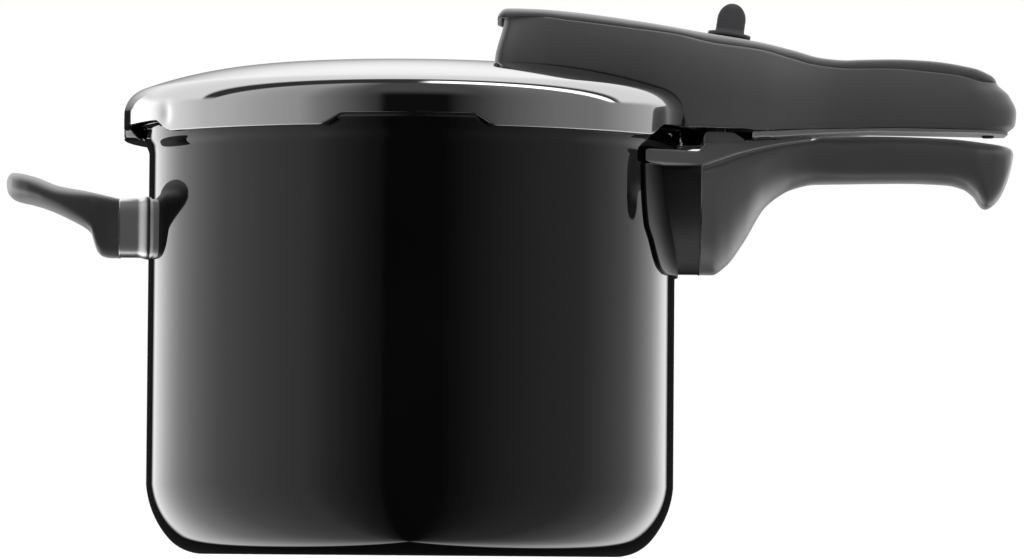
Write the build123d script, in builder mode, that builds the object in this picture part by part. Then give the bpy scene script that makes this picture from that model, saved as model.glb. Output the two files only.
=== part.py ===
from build123d import *
import os
from math import asin, cos, degrees, pi, radians, sin, sqrt

# Stovetop pressure cooker, millimetres.
# Origin: centre of the flat base. +Z is up the pot's axis, +X runs along the long handle.
# The lid is shown locked: its bayonet sections lie under the pot's lugs, handles in line.

os.makedirs("parts", exist_ok=True)

# ---- driving dimensions: pot ---------------------------------------------------------
POT_INNER_D = 220.0  # nominal cooking diameter
POT_WALL = 2.5
POT_HEIGHT = 183.5  # base to the top of the rim
BASE_THICKNESS = 6.0
BASE_INSET = 24.5  # flat base, in from the outer wall
HEEL_LOW_R = 20.0  # rounding that leaves the flat base
HEEL_LOW_TURN = 50.0
HEEL_HIGH_TURN = 35.0
HEEL_INSIDE_R = 24.0
RIM_FLARE = 1.8  # the wall steps out by this much below the rim
RIM_FLARE_HEIGHT = 6.0
RIM_FLANGE_REACH = 2.5
RIM_FLANGE_THICKNESS = 2.5
RIM_FILLET = 2.0

wall_x = POT_INNER_D / 2 + POT_WALL  # handles and valves are placed from the pot's wall and rim

# ---- driving dimensions: bayonet and lid ---------------------------------------------
LUG_COUNT = 5
LUG_REACH = 3.5  # beyond the rim flange
LUG_DEPTH = 5.3  # rim top down to the lug's underside
LUG_ANGLE = 22.0
LID_WALL = 1.5
LID_SKIRT_GAP = 1.6  # lug tip to the inside of the skirt
LIP_REACH = 6.4  # bayonet lip, inwards from the inside of the skirt
LIP_PLAY = 0.5  # lip top to lug underside
SKIRT_TOP = 3.3  # skirt's straight wall, above the rim
CROWN_R = 900.0
KNEE_R = 178.0
KNEE_END = 20.0  # slope where the knee hands over to the shoulder
SHOULDER_R = 10.9
NOTCH_RISE = 0.2  # notch edge above the underside of the rim flange
NOTCH_TOP_HALF = 26.5
NOTCH_BOTTOM_HALF = 35.0
NOTCH_FILLET = 2.4
SEAL_GAP = 0.3
SEAL_HEIGHT = 8.0
SEAL_LIP = 1.6
SEAL_LIP_DROP = 3.0
OPEN_ANGLE = 180.0 / LUG_COUNT  # lid turns this far to free the lugs

# ---- driving dimensions: lid handle --------------------------------------------------
HANDLE_END_X = wall_x + 146.0  # outer end of both long handles
LID_HANDLE_FRONT_X = wall_x - 76.5
LID_HANDLE_FRONT_HALF = 34.0
LID_HANDLE_WIDE_X = wall_x - 8.5
LID_HANDLE_WIDE_HALF = 48.0
GRIP_HALF = 17.0
GRIP_START_X = wall_x + 83.5
HANDLE_WALL = 2.6
HANDLE_FIT = 0.1  # between plastic pieces that are screwed together
RECESS_R = wall_x + 33.5  # underside recess that passes over the long handle's block
RECESS_Z = POT_HEIGHT - 2.1
RECESS_FLOOR = 2.6
FLOOR_STEP = 1.6  # floor rises by this much towards the grip
PLATE_PLAY = 0.4  # base plate's edge, outside the recess
RECESS_STOP_Y = 34.0  # closed side of the recess
PAST_SIDE = 80.0  # further out than the side of either handle
PAST_TOP = POT_HEIGHT + 80.0  # higher than any piece

# ---- driving dimensions: long handle -------------------------------------------------
ROOT_Z = POT_HEIGHT - 62.7  # lowest point of the handle's root
ROOT_TOP_Z = POT_HEIGHT - 18.2  # top of the flame guard
ROOT_TOP_HALF = 41.0
ROOT_BOTTOM_HALF = 15.0
ROOT_X = wall_x + 10.6  # outer face of the flame guard
GUARD_SHEET = 1.2
LEAF_SHEET = 1.5
LEAF_TOP_HALF = 57.0
TOP_INLAY_END_X = wall_x + 57.5
INLAY_PLAY = 0.3  # between the pot's wall and the inlay
BLOCK_X = wall_x + 11.5
BLOCK_END_X = wall_x + 24.5
BLOCK_Z = POT_HEIGHT - 3.7
BLOCK_HALF = 38.0
BRACKET_Z = POT_HEIGHT - 33.5
BRACKET_FOOT = (28.0, 26.0)  # width and height of the welded foot
BRACKET_ARM = (18.0, 4.0)
BRACKET_END_X = wall_x + 34.0
LONG_SCREW_X = wall_x + 28.5
LONG_SCREW_SEAT_Z = POT_HEIGHT - 40.5

# ---- driving dimensions: side grip ---------------------------------------------------
SIDE_GRIP_END = wall_x + 60.9
SIDE_GRIP_HALF = 34.0
SLEEVE_OUT = wall_x + 12.2
SLEEVE_Z = (POT_HEIGHT - 57.0, POT_HEIGHT - 32.0)
SLEEVE_HALF = 12.0
SLEEVE_WALL = 1.5
TONGUE_OUT = wall_x + 33.5
TONGUE_Z = POT_HEIGHT - 44.0
TONGUE_THICKNESS = 3.0
TONGUE_HALF = 8.0

# ---- driving dimensions: valves, selector and lock -----------------------------------
VALVE_X = wall_x - 52.5
INDICATOR_X = wall_x - 35.1
SAFETY_X = wall_x - 48.5
SAFETY_Y = 26.0
SELECTOR_X = wall_x + 22.5
SELECTOR_TILT = 8.0
SELECTOR_CREST_Z = POT_HEIGHT + 38.3  # where the selector's axis leaves the cover
KNOB_R = 9.2
SHAFT_R = 4.0
BOLT_X = wall_x + 18.5
BOLT_R = 3.0
BOLT_DROP = 4.0
POCKET_PLAY = 0.6  # radial room for the bolt in the block's pocket
POCKET_ROOM = 1.0  # below the dropped bolt
RUNNING = 0.05  # radial clearance of pieces that slide or turn in a bore
SCREW_R = 2.0
SCREW_HEAD_R = 3.6
HEAD_PLAY = 0.3  # radial room round a screw's head
HEAD_HEIGHT = 2.4
VALVE_NECK_R = 5.0
VALVE_NECK = 8.0
VALVE_PORT_R = 2.0
VALVE_R = 8.0
VALVE_SEAT = 2.5
VALVE_HEIGHT = 9.0
VALVE_NUT_R = 8.6
PISTON_R = 4.0
PISTON_HEIGHT = 3.5
GASKET_THICKNESS = 1.5
DOME_SEAT = 0.15  # between a flat seat and the curved lid
NUT_THICKNESS = 3.5
SAFETY_NECK_R = 4.0
SAFETY_NECK = 6.5
SAFETY_PORT_R = 1.5
SAFETY_R = 6.0
SAFETY_SEAT = 1.8
SAFETY_HEIGHT = 8.0
SAFETY_PLUNGER_R = 3.0
SAFETY_PIN_R = 1.2
INDICATOR_NECK_R = 4.0
STEM_R = 2.0
INDICATOR_FOOT = -7.5
INDICATOR_CAP_R = 6.2
INDICATOR_CAP_Z = 19.0
INDICATOR_TOP_Z = 24.2
CAP_PLAY = 0.3
BUSH_WALL = 1.4
BUSH_DEPTH = 5.0
BUSH_COLLAR = 2.1  # beyond the bush's wall
BUSH_RISE = 0.3
KNOB_LOW = 1.2
KNOB_FLANGE = 1.6
FIN_HALF = 6.1
FIN_TOP = 15.7
FIN_THICKNESS = 5.2
SHAFT_LENGTH = 21.0
CAM_R = 8.0
CAM_THICKNESS = 3.0
BOLT_GUIDE_R = 5.5
BOLT_GUIDE = 4.0
BOLT_HEAD_Z = POT_HEIGHT + 10.9
COVER_END_X = wall_x + 137.5
STOP_WALL_Z = POT_HEIGHT - 6.2
CAVITY_OPEN_X = wall_x - 6.5
RAIL_Y = 20.0
RAIL_HALF = 6.0
RAIL_SHEET = 2.0
RAIL_SCREW_X = wall_x + 37.5
RAIL_SEAT_Z = POT_HEIGHT - 3.15
BUMPER_R = 2.6
TONGUE_SCREW_X = wall_x + 22.5
TONGUE_SEAT_Z = POT_HEIGHT - 51.0

# ---- derived sizes: pot and lid ------------------------------------------------------
pot_inner_r = POT_INNER_D / 2
pot_outer_r = wall_x
base_flat_r = pot_outer_r - BASE_INSET
heel_join = radians(90 - HEEL_LOW_TURN)
heel_top = radians(90 - HEEL_LOW_TURN - HEEL_HIGH_TURN)
heel_high_r = (BASE_INSET - HEEL_LOW_R * cos(heel_join)) / (cos(heel_top) - cos(heel_join))
rim_z = POT_HEIGHT
flange_under_z = rim_z - RIM_FLANGE_THICKNESS
rim_outer_r = pot_outer_r + RIM_FLARE
rim_inner_r = pot_inner_r + RIM_FLARE
flange_r = rim_outer_r + RIM_FLANGE_REACH
flare_z = flange_under_z - RIM_FILLET - RIM_FLARE_HEIGHT - 3.0
lug_r = flange_r + LUG_REACH
lug_under_z = rim_z - LUG_DEPTH

lid_inner_r = lug_r + LID_SKIRT_GAP
lid_r = lid_inner_r + LID_WALL
lip_top_z = lug_under_z - LIP_PLAY
lip_under_z = lip_top_z - LID_WALL
lip_inner_r = lid_inner_r - LIP_REACH
notch_z = flange_under_z + NOTCH_RISE
skirt_top_z = rim_z + SKIRT_TOP
knee_sine = sin(radians(KNEE_END))
crown_sine = (lid_r - KNEE_R * knee_sine - SHOULDER_R * (1 - knee_sine)) / (CROWN_R - KNEE_R)
CROWN_END = degrees(asin(crown_sine))
crown_z = (
    skirt_top_z
    + CROWN_R * (1 - cos(radians(CROWN_END)))
    + KNEE_R * (cos(radians(CROWN_END)) - cos(radians(KNEE_END)))
    + SHOULDER_R * cos(radians(KNEE_END))
)
seal_in = rim_inner_r - SEAL_GAP
seal_out = lid_inner_r - SEAL_GAP


def at(out, up):
    """Point in the side view, measured outwards from the pot's wall and upwards from its rim."""
    return (wall_x + out, rim_z + up)


def left(out, up):
    """The same as at(), on the side of the small grip."""
    return (-wall_x - out, rim_z + up)


def radial_plane(angle):
    """Upright half-plane through the pot's axis: local x is the radius, local y is height."""
    turn = radians(angle)
    return Plane(origin=(0, 0, 0), x_dir=(cos(turn), sin(turn), 0), z_dir=(sin(turn), -cos(turn), 0))


def dome_plane(x, y=0.0):
    """Plane that touches the lid's outside at (x, y), its normal pointing out of the lid."""
    radius = sqrt(x**2 + y**2)
    if radius < CROWN_R * crown_sine:
        slope = asin(radius / CROWN_R)
        height = crown_z - CROWN_R * (1 - cos(slope))
    else:
        slope = asin((radius - (CROWN_R - KNEE_R) * crown_sine) / KNEE_R)
        knee_z = crown_z - CROWN_R + (CROWN_R - KNEE_R) * cos(radians(CROWN_END))
        height = knee_z + KNEE_R * cos(slope)
    return Plane(
        origin=(x, y, height),
        x_dir=(cos(slope), 0, -sin(slope) * x / radius),
        z_dir=(sin(slope) * x / radius, sin(slope) * y / radius, cos(slope)),
    )


def lid_outline(inset):
    """Crown, knee and shoulder of the lid, moved inwards by inset. Returns the three arcs."""
    crown = JernArc((0, crown_z - inset), (1, 0), CROWN_R - inset, -CROWN_END)
    knee = JernArc(crown @ 1, crown % 1, KNEE_R - inset, CROWN_END - KNEE_END)
    shoulder = JernArc(knee @ 1, knee % 1, SHOULDER_R - inset, KNEE_END - 90)
    return crown, knee, shoulder


def save(part, name):
    """Labels a finished piece and writes it to parts/name.step."""
    part.label = name
    export_step(part, f"parts/{name}.step")


lid_holes = (
    (VALVE_X, 0.0, VALVE_NECK_R + HANDLE_FIT),
    (INDICATOR_X, 0.0, INDICATOR_NECK_R + HANDLE_FIT),
    (SAFETY_X, SAFETY_Y, SAFETY_NECK_R + HANDLE_FIT),
)

selector_tilt = radians(SELECTOR_TILT)
selector_plane = Plane(
    origin=(SELECTOR_X, 0, SELECTOR_CREST_Z),
    x_dir=(cos(selector_tilt), 0, -sin(selector_tilt)),
    z_dir=(sin(selector_tilt), 0, cos(selector_tilt)),
)


# ======================================================================================
# Pot
# ======================================================================================
with BuildPart() as pot_body:
    with BuildSketch(Plane.XZ):
        with BuildLine():
            base = Line((0, 0), (base_flat_r, 0))
            heel_low = JernArc(base @ 1, (1, 0), HEEL_LOW_R, HEEL_LOW_TURN)
            heel_high = JernArc(heel_low @ 1, heel_low % 1, heel_high_r, HEEL_HIGH_TURN)
            wall = Polyline(
                heel_high @ 1,
                (pot_outer_r, flare_z),
                (rim_outer_r, flare_z + RIM_FLARE_HEIGHT),
                (rim_outer_r, flange_under_z - RIM_FILLET),
            )
            under_flange = JernArc(wall @ 1, (0, 1), RIM_FILLET, -90)
            rim = Polyline(
                under_flange @ 1,
                (flange_r, flange_under_z),
                (flange_r, rim_z),
                (rim_inner_r, rim_z),
                (rim_inner_r, flare_z + RIM_FLARE_HEIGHT),
                (pot_inner_r, flare_z),
                (pot_inner_r, BASE_THICKNESS + HEEL_INSIDE_R),
            )
            heel_inside = JernArc(rim @ 1, (0, -1), HEEL_INSIDE_R, -90)
            Polyline(heel_inside @ 1, (0, BASE_THICKNESS), (0, 0))
        make_face()
    revolve(axis=Axis.Z)
    # bayonet lugs, turned down from the rim flange, midway between the lid's notches
    for step in range(LUG_COUNT):
        middle = -90 + OPEN_ANGLE + step * 360 / LUG_COUNT
        with BuildSketch(radial_plane(middle - LUG_ANGLE / 2)) as lug_section:
            with Locations(((flange_r + lug_r) / 2 - 0.5, (rim_z + lug_under_z) / 2)):
                Rectangle(lug_r - flange_r + 1.0, rim_z - lug_under_z)
        revolve(lug_section.sketch, axis=Axis.Z, revolution_arc=LUG_ANGLE)
save(pot_body.part, "pot_body")

# ======================================================================================
# Lid and its sealing ring
# ======================================================================================
with BuildPart() as lid_shell:
    with BuildSketch(Plane.XZ):
        with BuildLine():
            outer = lid_outline(0)
            inner = lid_outline(LID_WALL)
            Polyline(
                outer[2] @ 1,
                (lid_r, lip_under_z),
                (lip_inner_r, lip_under_z),
                (lip_inner_r, lip_top_z),
                (lid_inner_r, lip_top_z),
                inner[2] @ 1,
            )
            Line((0, crown_z), (0, crown_z - LID_WALL))
        make_face()
    revolve(axis=Axis.Z)
    fillet(
        lid_shell.edges()
        .filter_by(GeomType.CIRCLE)
        .filter_by(lambda e: abs(e.center().Z - lip_under_z) < 0.01 and e.radius > lid_r - 0.1),
        1.2,
    )
    # notches that let the pot's lugs through
    for step in range(LUG_COUNT):
        turn = step * 360 / LUG_COUNT
        notch_plane = Plane(
            origin=(0, 0, 0), x_dir=(cos(radians(turn)), sin(radians(turn)), 0),
            z_dir=(sin(radians(turn)), -cos(radians(turn)), 0),
        ).offset(lip_inner_r - 12)
        with BuildSketch(notch_plane) as notch:
            with BuildLine():
                Polyline(
                    (-NOTCH_BOTTOM_HALF - 6, lip_under_z - 6),
                    (-NOTCH_BOTTOM_HALF, lip_under_z - 0.01),
                    (-NOTCH_TOP_HALF, notch_z),
                    (NOTCH_TOP_HALF, notch_z),
                    (NOTCH_BOTTOM_HALF, lip_under_z - 0.01),
                    (NOTCH_BOTTOM_HALF + 6, lip_under_z - 6),
                    close=True,
                )
            make_face()
            fillet(notch.vertices().group_by(Axis.Z)[-1], NOTCH_FILLET)
        extrude(notch.sketch, amount=lid_r - lip_inner_r + 14, mode=Mode.SUBTRACT)
    # holes for the valves and the indicator
    for x, y, radius in lid_holes:
        with Locations(dome_plane(x, y)):
            Cylinder(radius, 4 * LID_WALL, mode=Mode.SUBTRACT)
save(lid_shell.part, "lid_shell")

with BuildPart() as sealing_ring:
    with BuildSketch(Plane.XZ):
        with BuildLine():
            Polyline(
                (seal_in, rim_z - SEAL_LIP_DROP),
                (seal_in, rim_z + SEAL_GAP),
                (seal_out, rim_z + SEAL_GAP),
                (seal_out, rim_z + 4.0),
                (seal_out - 3.0, rim_z + SEAL_HEIGHT),
                (seal_out - 5.0, rim_z + SEAL_HEIGHT),
                (seal_out - 6.5, rim_z + SEAL_GAP + 2.4),
                (seal_in, rim_z + SEAL_GAP + 2.4),
                (seal_in - SEAL_LIP, rim_z + SEAL_GAP + 1.4),
                (seal_in - SEAL_LIP, rim_z - SEAL_LIP_DROP),
                close=True,
            )
        make_face()
    revolve(axis=Axis.Z)
save(sealing_ring.part, "sealing_ring")

# ======================================================================================
# Outlines that the two long handles share
# ======================================================================================
def lid_handle_plan(inset):
    """Outline of the lid handle from above, moved inwards by inset. Returns a sketch."""
    front = LID_HANDLE_FRONT_X + inset
    end = HANDLE_END_X - inset
    with BuildSketch() as plan:
        with BuildLine():
            Polyline(
                (front, 0),
                (front, LID_HANDLE_FRONT_HALF - 8.0),
                (front + 3.0, LID_HANDLE_FRONT_HALF - inset),
            )
            side = Spline(
                (front + 3.0, LID_HANDLE_FRONT_HALF - inset),
                (LID_HANDLE_WIDE_X, LID_HANDLE_WIDE_HALF - inset),
                (wall_x + 33.5, 34.0 - inset),
                (GRIP_START_X - 22.0, 20.5 - inset),
                (GRIP_START_X, GRIP_HALF - inset),
                (HANDLE_END_X - 18.0, GRIP_HALF - inset),
            )
            ThreePointArc(side @ 1, (end - 4.5, (GRIP_HALF - inset) * 0.62), (end, 0))
            mirror(about=Plane.XZ)
        make_face()
    return plan.sketch


with BuildSketch() as long_handle_plan:
    with BuildLine():
        inner_edge = Line((wall_x - 32.5, 0), (wall_x - 32.5, 70.0))
        corner = Line(inner_edge @ 1, (wall_x - 22.5, 66.0))
        Spline(
            corner @ 1,
            (ROOT_X, ROOT_TOP_HALF),
            (ROOT_X + 24.9, 28.5),
            (GRIP_START_X - 22.0, 18.5),
            (GRIP_START_X, GRIP_HALF - 0.8),
            (HANDLE_END_X - 18.0, GRIP_HALF - 0.8),
        )
        ThreePointArc(
            (HANDLE_END_X - 18.0, GRIP_HALF - 0.8),
            (HANDLE_END_X - 4.8, GRIP_HALF * 0.6),
            (HANDLE_END_X - 1.2, 0),
        )
        mirror(about=Plane.XZ)
    make_face()

with BuildSketch(Plane.YZ) as root_shield:
    with BuildLine():
        Polyline(
            (0, ROOT_Z),
            (ROOT_BOTTOM_HALF, ROOT_Z),
            (ROOT_BOTTOM_HALF + 6.0, ROOT_Z + 3.6),
        )
        Spline(
            (ROOT_BOTTOM_HALF + 6.0, ROOT_Z + 3.6),
            (ROOT_TOP_HALF - 10.5, ROOT_Z + 16.0),
            (ROOT_TOP_HALF - 3.0, ROOT_Z + 27.0),
            (ROOT_TOP_HALF, ROOT_TOP_Z),
        )
        Polyline((ROOT_TOP_HALF, ROOT_TOP_Z), (ROOT_TOP_HALF, PAST_TOP), (0, PAST_TOP))
        mirror(about=Plane.YZ)
    make_face()


def side_points(plane_y, outline):
    """Closed side outline of a long handle, drawn in the XZ plane at the given y."""
    with BuildSketch(Plane.XZ.offset(-plane_y)) as side:
        with BuildLine():
            Polyline(*outline, close=True)
        make_face()
    return side.sketch


# ======================================================================================
# Flame guard and the bracket welded to the pot for the long handle
# ======================================================================================
with BuildPart() as flame_guard:
    extrude(root_shield.sketch, amount=ROOT_X)
    with BuildSketch(Plane.YZ) as inside:
        offset(root_shield.sketch, amount=-GUARD_SHEET)
    extrude(inside.sketch, amount=ROOT_X - GUARD_SHEET, mode=Mode.SUBTRACT)
    split(bisect_by=Plane.XY.offset(ROOT_TOP_Z), keep=Keep.BOTTOM)
    Cylinder(pot_outer_r + RUNNING, 2 * POT_HEIGHT, mode=Mode.SUBTRACT)
    with BuildPart(mode=Mode.PRIVATE) as leaf:
        with BuildSketch(Plane.YZ) as leaf_outline:
            with BuildLine():
                Polyline((0, ROOT_Z - 1.3), (LEAF_TOP_HALF - 23.0, ROOT_Z - 1.3))
                Spline(
                    (LEAF_TOP_HALF - 23.0, ROOT_Z - 1.3),
                    (LEAF_TOP_HALF - 11.0, ROOT_Z + 7.0),
                    (LEAF_TOP_HALF - 3.0, ROOT_Z + 19.0),
                    (LEAF_TOP_HALF, ROOT_TOP_Z),
                )
                Polyline((LEAF_TOP_HALF, ROOT_TOP_Z), (0, ROOT_TOP_Z))
                mirror(about=Plane.YZ)
            make_face()
        extrude(leaf_outline.sketch, amount=PAST_TOP)
        Cylinder(pot_outer_r + LEAF_SHEET, 2 * POT_HEIGHT, mode=Mode.INTERSECT)
        Cylinder(pot_outer_r + RUNNING, 2 * POT_HEIGHT, mode=Mode.SUBTRACT)
    add(leaf.part)
    with Locations((pot_outer_r + 3, 0, BRACKET_Z)):
        Box(20, BRACKET_FOOT[0] + 2, BRACKET_FOOT[1] + 2, mode=Mode.SUBTRACT)
    with Locations((ROOT_X, 0, BRACKET_Z)):
        Box(8, BRACKET_ARM[0] + 1, BRACKET_ARM[1] + 1, mode=Mode.SUBTRACT)
save(flame_guard.part, "flame_guard")

with BuildPart() as long_handle_bracket:
    with Locations((pot_outer_r + 1.5, 0, BRACKET_Z)):
        Box(5, BRACKET_FOOT[0], BRACKET_FOOT[1])
    with Locations(((pot_outer_r + BRACKET_END_X) / 2, 0, BRACKET_Z)):
        Box(BRACKET_END_X - pot_outer_r, BRACKET_ARM[0], BRACKET_ARM[1])
    Cylinder(pot_outer_r + RUNNING, 2 * POT_HEIGHT, mode=Mode.SUBTRACT)
    with Locations((LONG_SCREW_X, 0, BRACKET_Z)):
        Cylinder(SCREW_R + HANDLE_FIT, 4 * BRACKET_ARM[1], mode=Mode.SUBTRACT)
save(long_handle_bracket.part, "long_handle_bracket")

# ======================================================================================
# Long handle on the pot: shell with a finger hook, and the inlay on top of its root
# ======================================================================================
seam = [
    (ROOT_X + HANDLE_FIT, ROOT_TOP_Z + HANDLE_FIT),
    (ROOT_X + 4.0, ROOT_TOP_Z + 1.4),
    at(27.0, -12.2),
    at(41.8, -8.3),
    (TOP_INLAY_END_X, rim_z - 5.5),
]
with BuildPart() as long_handle_shell:
    with BuildSketch(Plane.XZ) as long_handle_side:
        with BuildLine():
            Polyline(*seam, (TOP_INLAY_END_X, rim_z - 4.1), at(69.5, -3.3))
            Spline(at(69.5, -3.3), at(84.5, -2.9), at(113.5, -3.6), at(140.5, -6.7))
            tip = ThreePointArc(at(140.5, -6.7), at(143.5, -7.9), (HANDLE_END_X - 1.2, rim_z - 10.1))
            Spline(tip @ 1, at(143.1, -18.3), at(138.4, -29.5), at(134.5, -33.2))
            hook = ThreePointArc(at(134.5, -33.2), at(133.0, -33.8), at(131.4, -33.1))
            Spline(hook @ 1, at(127.8, -28.2), at(123.5, -25.1), at(116.5, -23.4), at(100.5, -22.7))
            Spline(
                at(100.5, -22.7),
                at(70.0, -23.3),
                at(49.5, -26.0),
                at(38.0, -34.3),
                at(29.4, -48.8),
                at(22.0, -58.8),
                (wall_x + 15.9, ROOT_Z),
            )
            Polyline((wall_x + 15.9, ROOT_Z), (ROOT_X + HANDLE_FIT, ROOT_Z), seam[0])
        make_face()
    extrude(long_handle_side.sketch, amount=PAST_SIDE, both=True)
    extrude(long_handle_plan.sketch, amount=PAST_TOP, mode=Mode.INTERSECT)
    extrude(root_shield.sketch, amount=2 * HANDLE_END_X, mode=Mode.INTERSECT)
    with Locations(((ROOT_X + BRACKET_END_X) / 2, 0, BRACKET_Z)):
        Box(BRACKET_END_X - ROOT_X + 2, BRACKET_ARM[0] + 1, BRACKET_ARM[1] + 0.4, mode=Mode.SUBTRACT)
    with Locations((LONG_SCREW_X, 0, ROOT_Z)):
        Cylinder(
            SCREW_R + HANDLE_FIT, BRACKET_Z - ROOT_Z + 9,
            align=(Align.CENTER, Align.CENTER, Align.MIN), mode=Mode.SUBTRACT,
        )
        Cylinder(
            SCREW_HEAD_R + HEAD_PLAY, LONG_SCREW_SEAT_Z - ROOT_Z,
            align=(Align.CENTER, Align.CENTER, Align.MIN), mode=Mode.SUBTRACT,
        )
save(long_handle_shell.part, "long_handle_shell")

with BuildPart() as long_handle_screw:
    with Locations((LONG_SCREW_X, 0, LONG_SCREW_SEAT_Z)):
        Cylinder(SCREW_R, BRACKET_Z - LONG_SCREW_SEAT_Z + 7, align=(Align.CENTER, Align.CENTER, Align.MIN))
        Cylinder(SCREW_HEAD_R, HEAD_HEIGHT, align=(Align.CENTER, Align.CENTER, Align.MAX))
save(long_handle_screw.part, "long_handle_screw")

with BuildPart() as long_handle_top:
    lower = [(wall_x - 32.5, ROOT_TOP_Z + HANDLE_FIT), *[(x, z + HANDLE_FIT) for x, z in seam]]
    upper = [
        (TOP_INLAY_END_X, rim_z - 4.2),
        at(42.8, -5.9),
        (BLOCK_END_X + 4.3, rim_z - 7.1),
        (BLOCK_X + 0.2, rim_z - 7.9),
        (BLOCK_X - 3.0, rim_z - 11.9),
        at(-32.5, -11.9),
    ]
    extrude(side_points(0, lower + upper), amount=PAST_SIDE, both=True)
    block = [
        (BLOCK_X, rim_z - 13.5),
        (BLOCK_X, BLOCK_Z - 1.0),
        (BLOCK_X + 1.0, BLOCK_Z),
        (BLOCK_END_X, BLOCK_Z),
        (BLOCK_END_X + 4.3, rim_z - 7.1),
        (BLOCK_END_X + 4.3, rim_z - 9.5),
        at(27.0, -11.5),
    ]
    extrude(side_points(-BLOCK_HALF, block), amount=-(BLOCK_HALF + RECESS_STOP_Y - 1.0))
    extrude(long_handle_plan.sketch, amount=PAST_TOP, mode=Mode.INTERSECT)
    Cylinder(rim_outer_r + INLAY_PLAY, 2 * POT_HEIGHT, mode=Mode.SUBTRACT)
    with Locations((BOLT_X, 0, BLOCK_Z)):
        Cylinder(
            BOLT_R + POCKET_PLAY, BOLT_DROP + POCKET_ROOM,
            align=(Align.CENTER, Align.CENTER, Align.MAX), mode=Mode.SUBTRACT,
        )
save(long_handle_top.part, "long_handle_top")

# ======================================================================================
# Side grip on the pot: steel sleeve with a tongue, paddle grip and its screw
# ======================================================================================
sleeve_mid = (SLEEVE_Z[0] + SLEEVE_Z[1]) / 2
with BuildPart() as side_handle_bracket:
    with BuildSketch(Plane.YZ.offset(-SLEEVE_OUT)):
        with Locations((0, sleeve_mid)):
            RectangleRounded(2 * SLEEVE_HALF, SLEEVE_Z[1] - SLEEVE_Z[0], 5.0)
    extrude(amount=SLEEVE_OUT - pot_inner_r)
    with BuildSketch(Plane.YZ.offset(-SLEEVE_OUT + SLEEVE_WALL)):
        with Locations((0, sleeve_mid)):
            RectangleRounded(
                2 * (SLEEVE_HALF - SLEEVE_WALL), SLEEVE_Z[1] - SLEEVE_Z[0] - 2 * SLEEVE_WALL, 3.5
            )
    extrude(amount=SLEEVE_OUT - pot_inner_r, mode=Mode.SUBTRACT)
    with Locations((-(SLEEVE_OUT + TONGUE_OUT) / 2 + 1.0, 0, TONGUE_Z)):
        Box(TONGUE_OUT - SLEEVE_OUT + 2.0, 2 * TONGUE_HALF, TONGUE_THICKNESS)
    with Locations((-TONGUE_SCREW_X, 0, TONGUE_Z)):
        Cylinder(SCREW_R + HANDLE_FIT, 4 * TONGUE_THICKNESS, mode=Mode.SUBTRACT)
    Cylinder(pot_outer_r + RUNNING, 2 * POT_HEIGHT, mode=Mode.SUBTRACT)
save(side_handle_bracket.part, "side_handle_bracket")

with BuildPart() as side_handle_grip:
    with BuildSketch(Plane.XZ) as side_grip_side:
        with BuildLine():
            Spline(
                (-SLEEVE_OUT - 0.2, SLEEVE_Z[1] - 0.1), left(21.5, -30.1), left(37.5, -26.8),
                left(48.5, -22.7), left(55.5, -21.6),
            )
            Spline(left(55.5, -21.6), left(60.1, -22.7), (-SIDE_GRIP_END, rim_z - 25.9), left(57.1, -33.1))
            Spline(
                left(57.1, -33.1), left(45.0, -36.8), left(31.4, -42.5), left(23.9, -47.9),
                left(21.9, -54.5), left(18.1, -57.3),
            )
            Polyline(
                left(18.1, -57.3),
                (-SLEEVE_OUT - 0.2, SLEEVE_Z[0] - 0.5),
                (-SLEEVE_OUT - 0.2, SLEEVE_Z[1] - 0.1),
            )
        make_face()
    extrude(side_grip_side.sketch, amount=SIDE_GRIP_HALF + 6.0, both=True)
    with BuildSketch() as side_grip_plan:
        with BuildLine():
            Line((-SLEEVE_OUT + 4.0, 0), (-SLEEVE_OUT + 4.0, SLEEVE_HALF + 1.0))
            Spline(
                (-SLEEVE_OUT + 4.0, SLEEVE_HALF + 1.0),
                (-SIDE_GRIP_END + 41.4, SIDE_GRIP_HALF - 18.5),
                (-SIDE_GRIP_END + 30.4, SIDE_GRIP_HALF - 9.0),
                (-SIDE_GRIP_END + 20.4, SIDE_GRIP_HALF - 2.0),
                (-SIDE_GRIP_END + 12.4, SIDE_GRIP_HALF),
                (-SIDE_GRIP_END + 5.4, SIDE_GRIP_HALF - 5.0),
                (-SIDE_GRIP_END + 1.4, SIDE_GRIP_HALF - 16.0),
                (-SIDE_GRIP_END, 0),
            )
            mirror(about=Plane.XZ)
        make_face()
    extrude(side_grip_plan.sketch, amount=POT_HEIGHT, mode=Mode.INTERSECT)
    with Locations((-(SLEEVE_OUT + TONGUE_OUT) / 2, 0, TONGUE_Z)):
        Box(
            TONGUE_OUT - SLEEVE_OUT + 1.0, 2 * TONGUE_HALF + 0.4, TONGUE_THICKNESS + 0.4,
            mode=Mode.SUBTRACT,
        )
    with Locations((-TONGUE_SCREW_X, 0, TONGUE_SEAT_Z)):
        Cylinder(
            SCREW_R + HANDLE_FIT, TONGUE_Z - TONGUE_SEAT_Z + 8.0,
            align=(Align.CENTER, Align.CENTER, Align.MIN), mode=Mode.SUBTRACT,
        )
        Cylinder(
            SCREW_HEAD_R + HEAD_PLAY, TONGUE_SEAT_Z,
            align=(Align.CENTER, Align.CENTER, Align.MAX), mode=Mode.SUBTRACT,
        )
save(side_handle_grip.part, "side_handle_grip")

with BuildPart() as side_handle_screw:
    with Locations((-TONGUE_SCREW_X, 0, TONGUE_SEAT_Z)):
        Cylinder(SCREW_R, TONGUE_Z + 6.0 - TONGUE_SEAT_Z, align=(Align.CENTER, Align.CENTER, Align.MIN))
        Cylinder(SCREW_HEAD_R, HEAD_HEIGHT, align=(Align.CENTER, Align.CENTER, Align.MAX))
save(side_handle_screw.part, "side_handle_screw")

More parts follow.
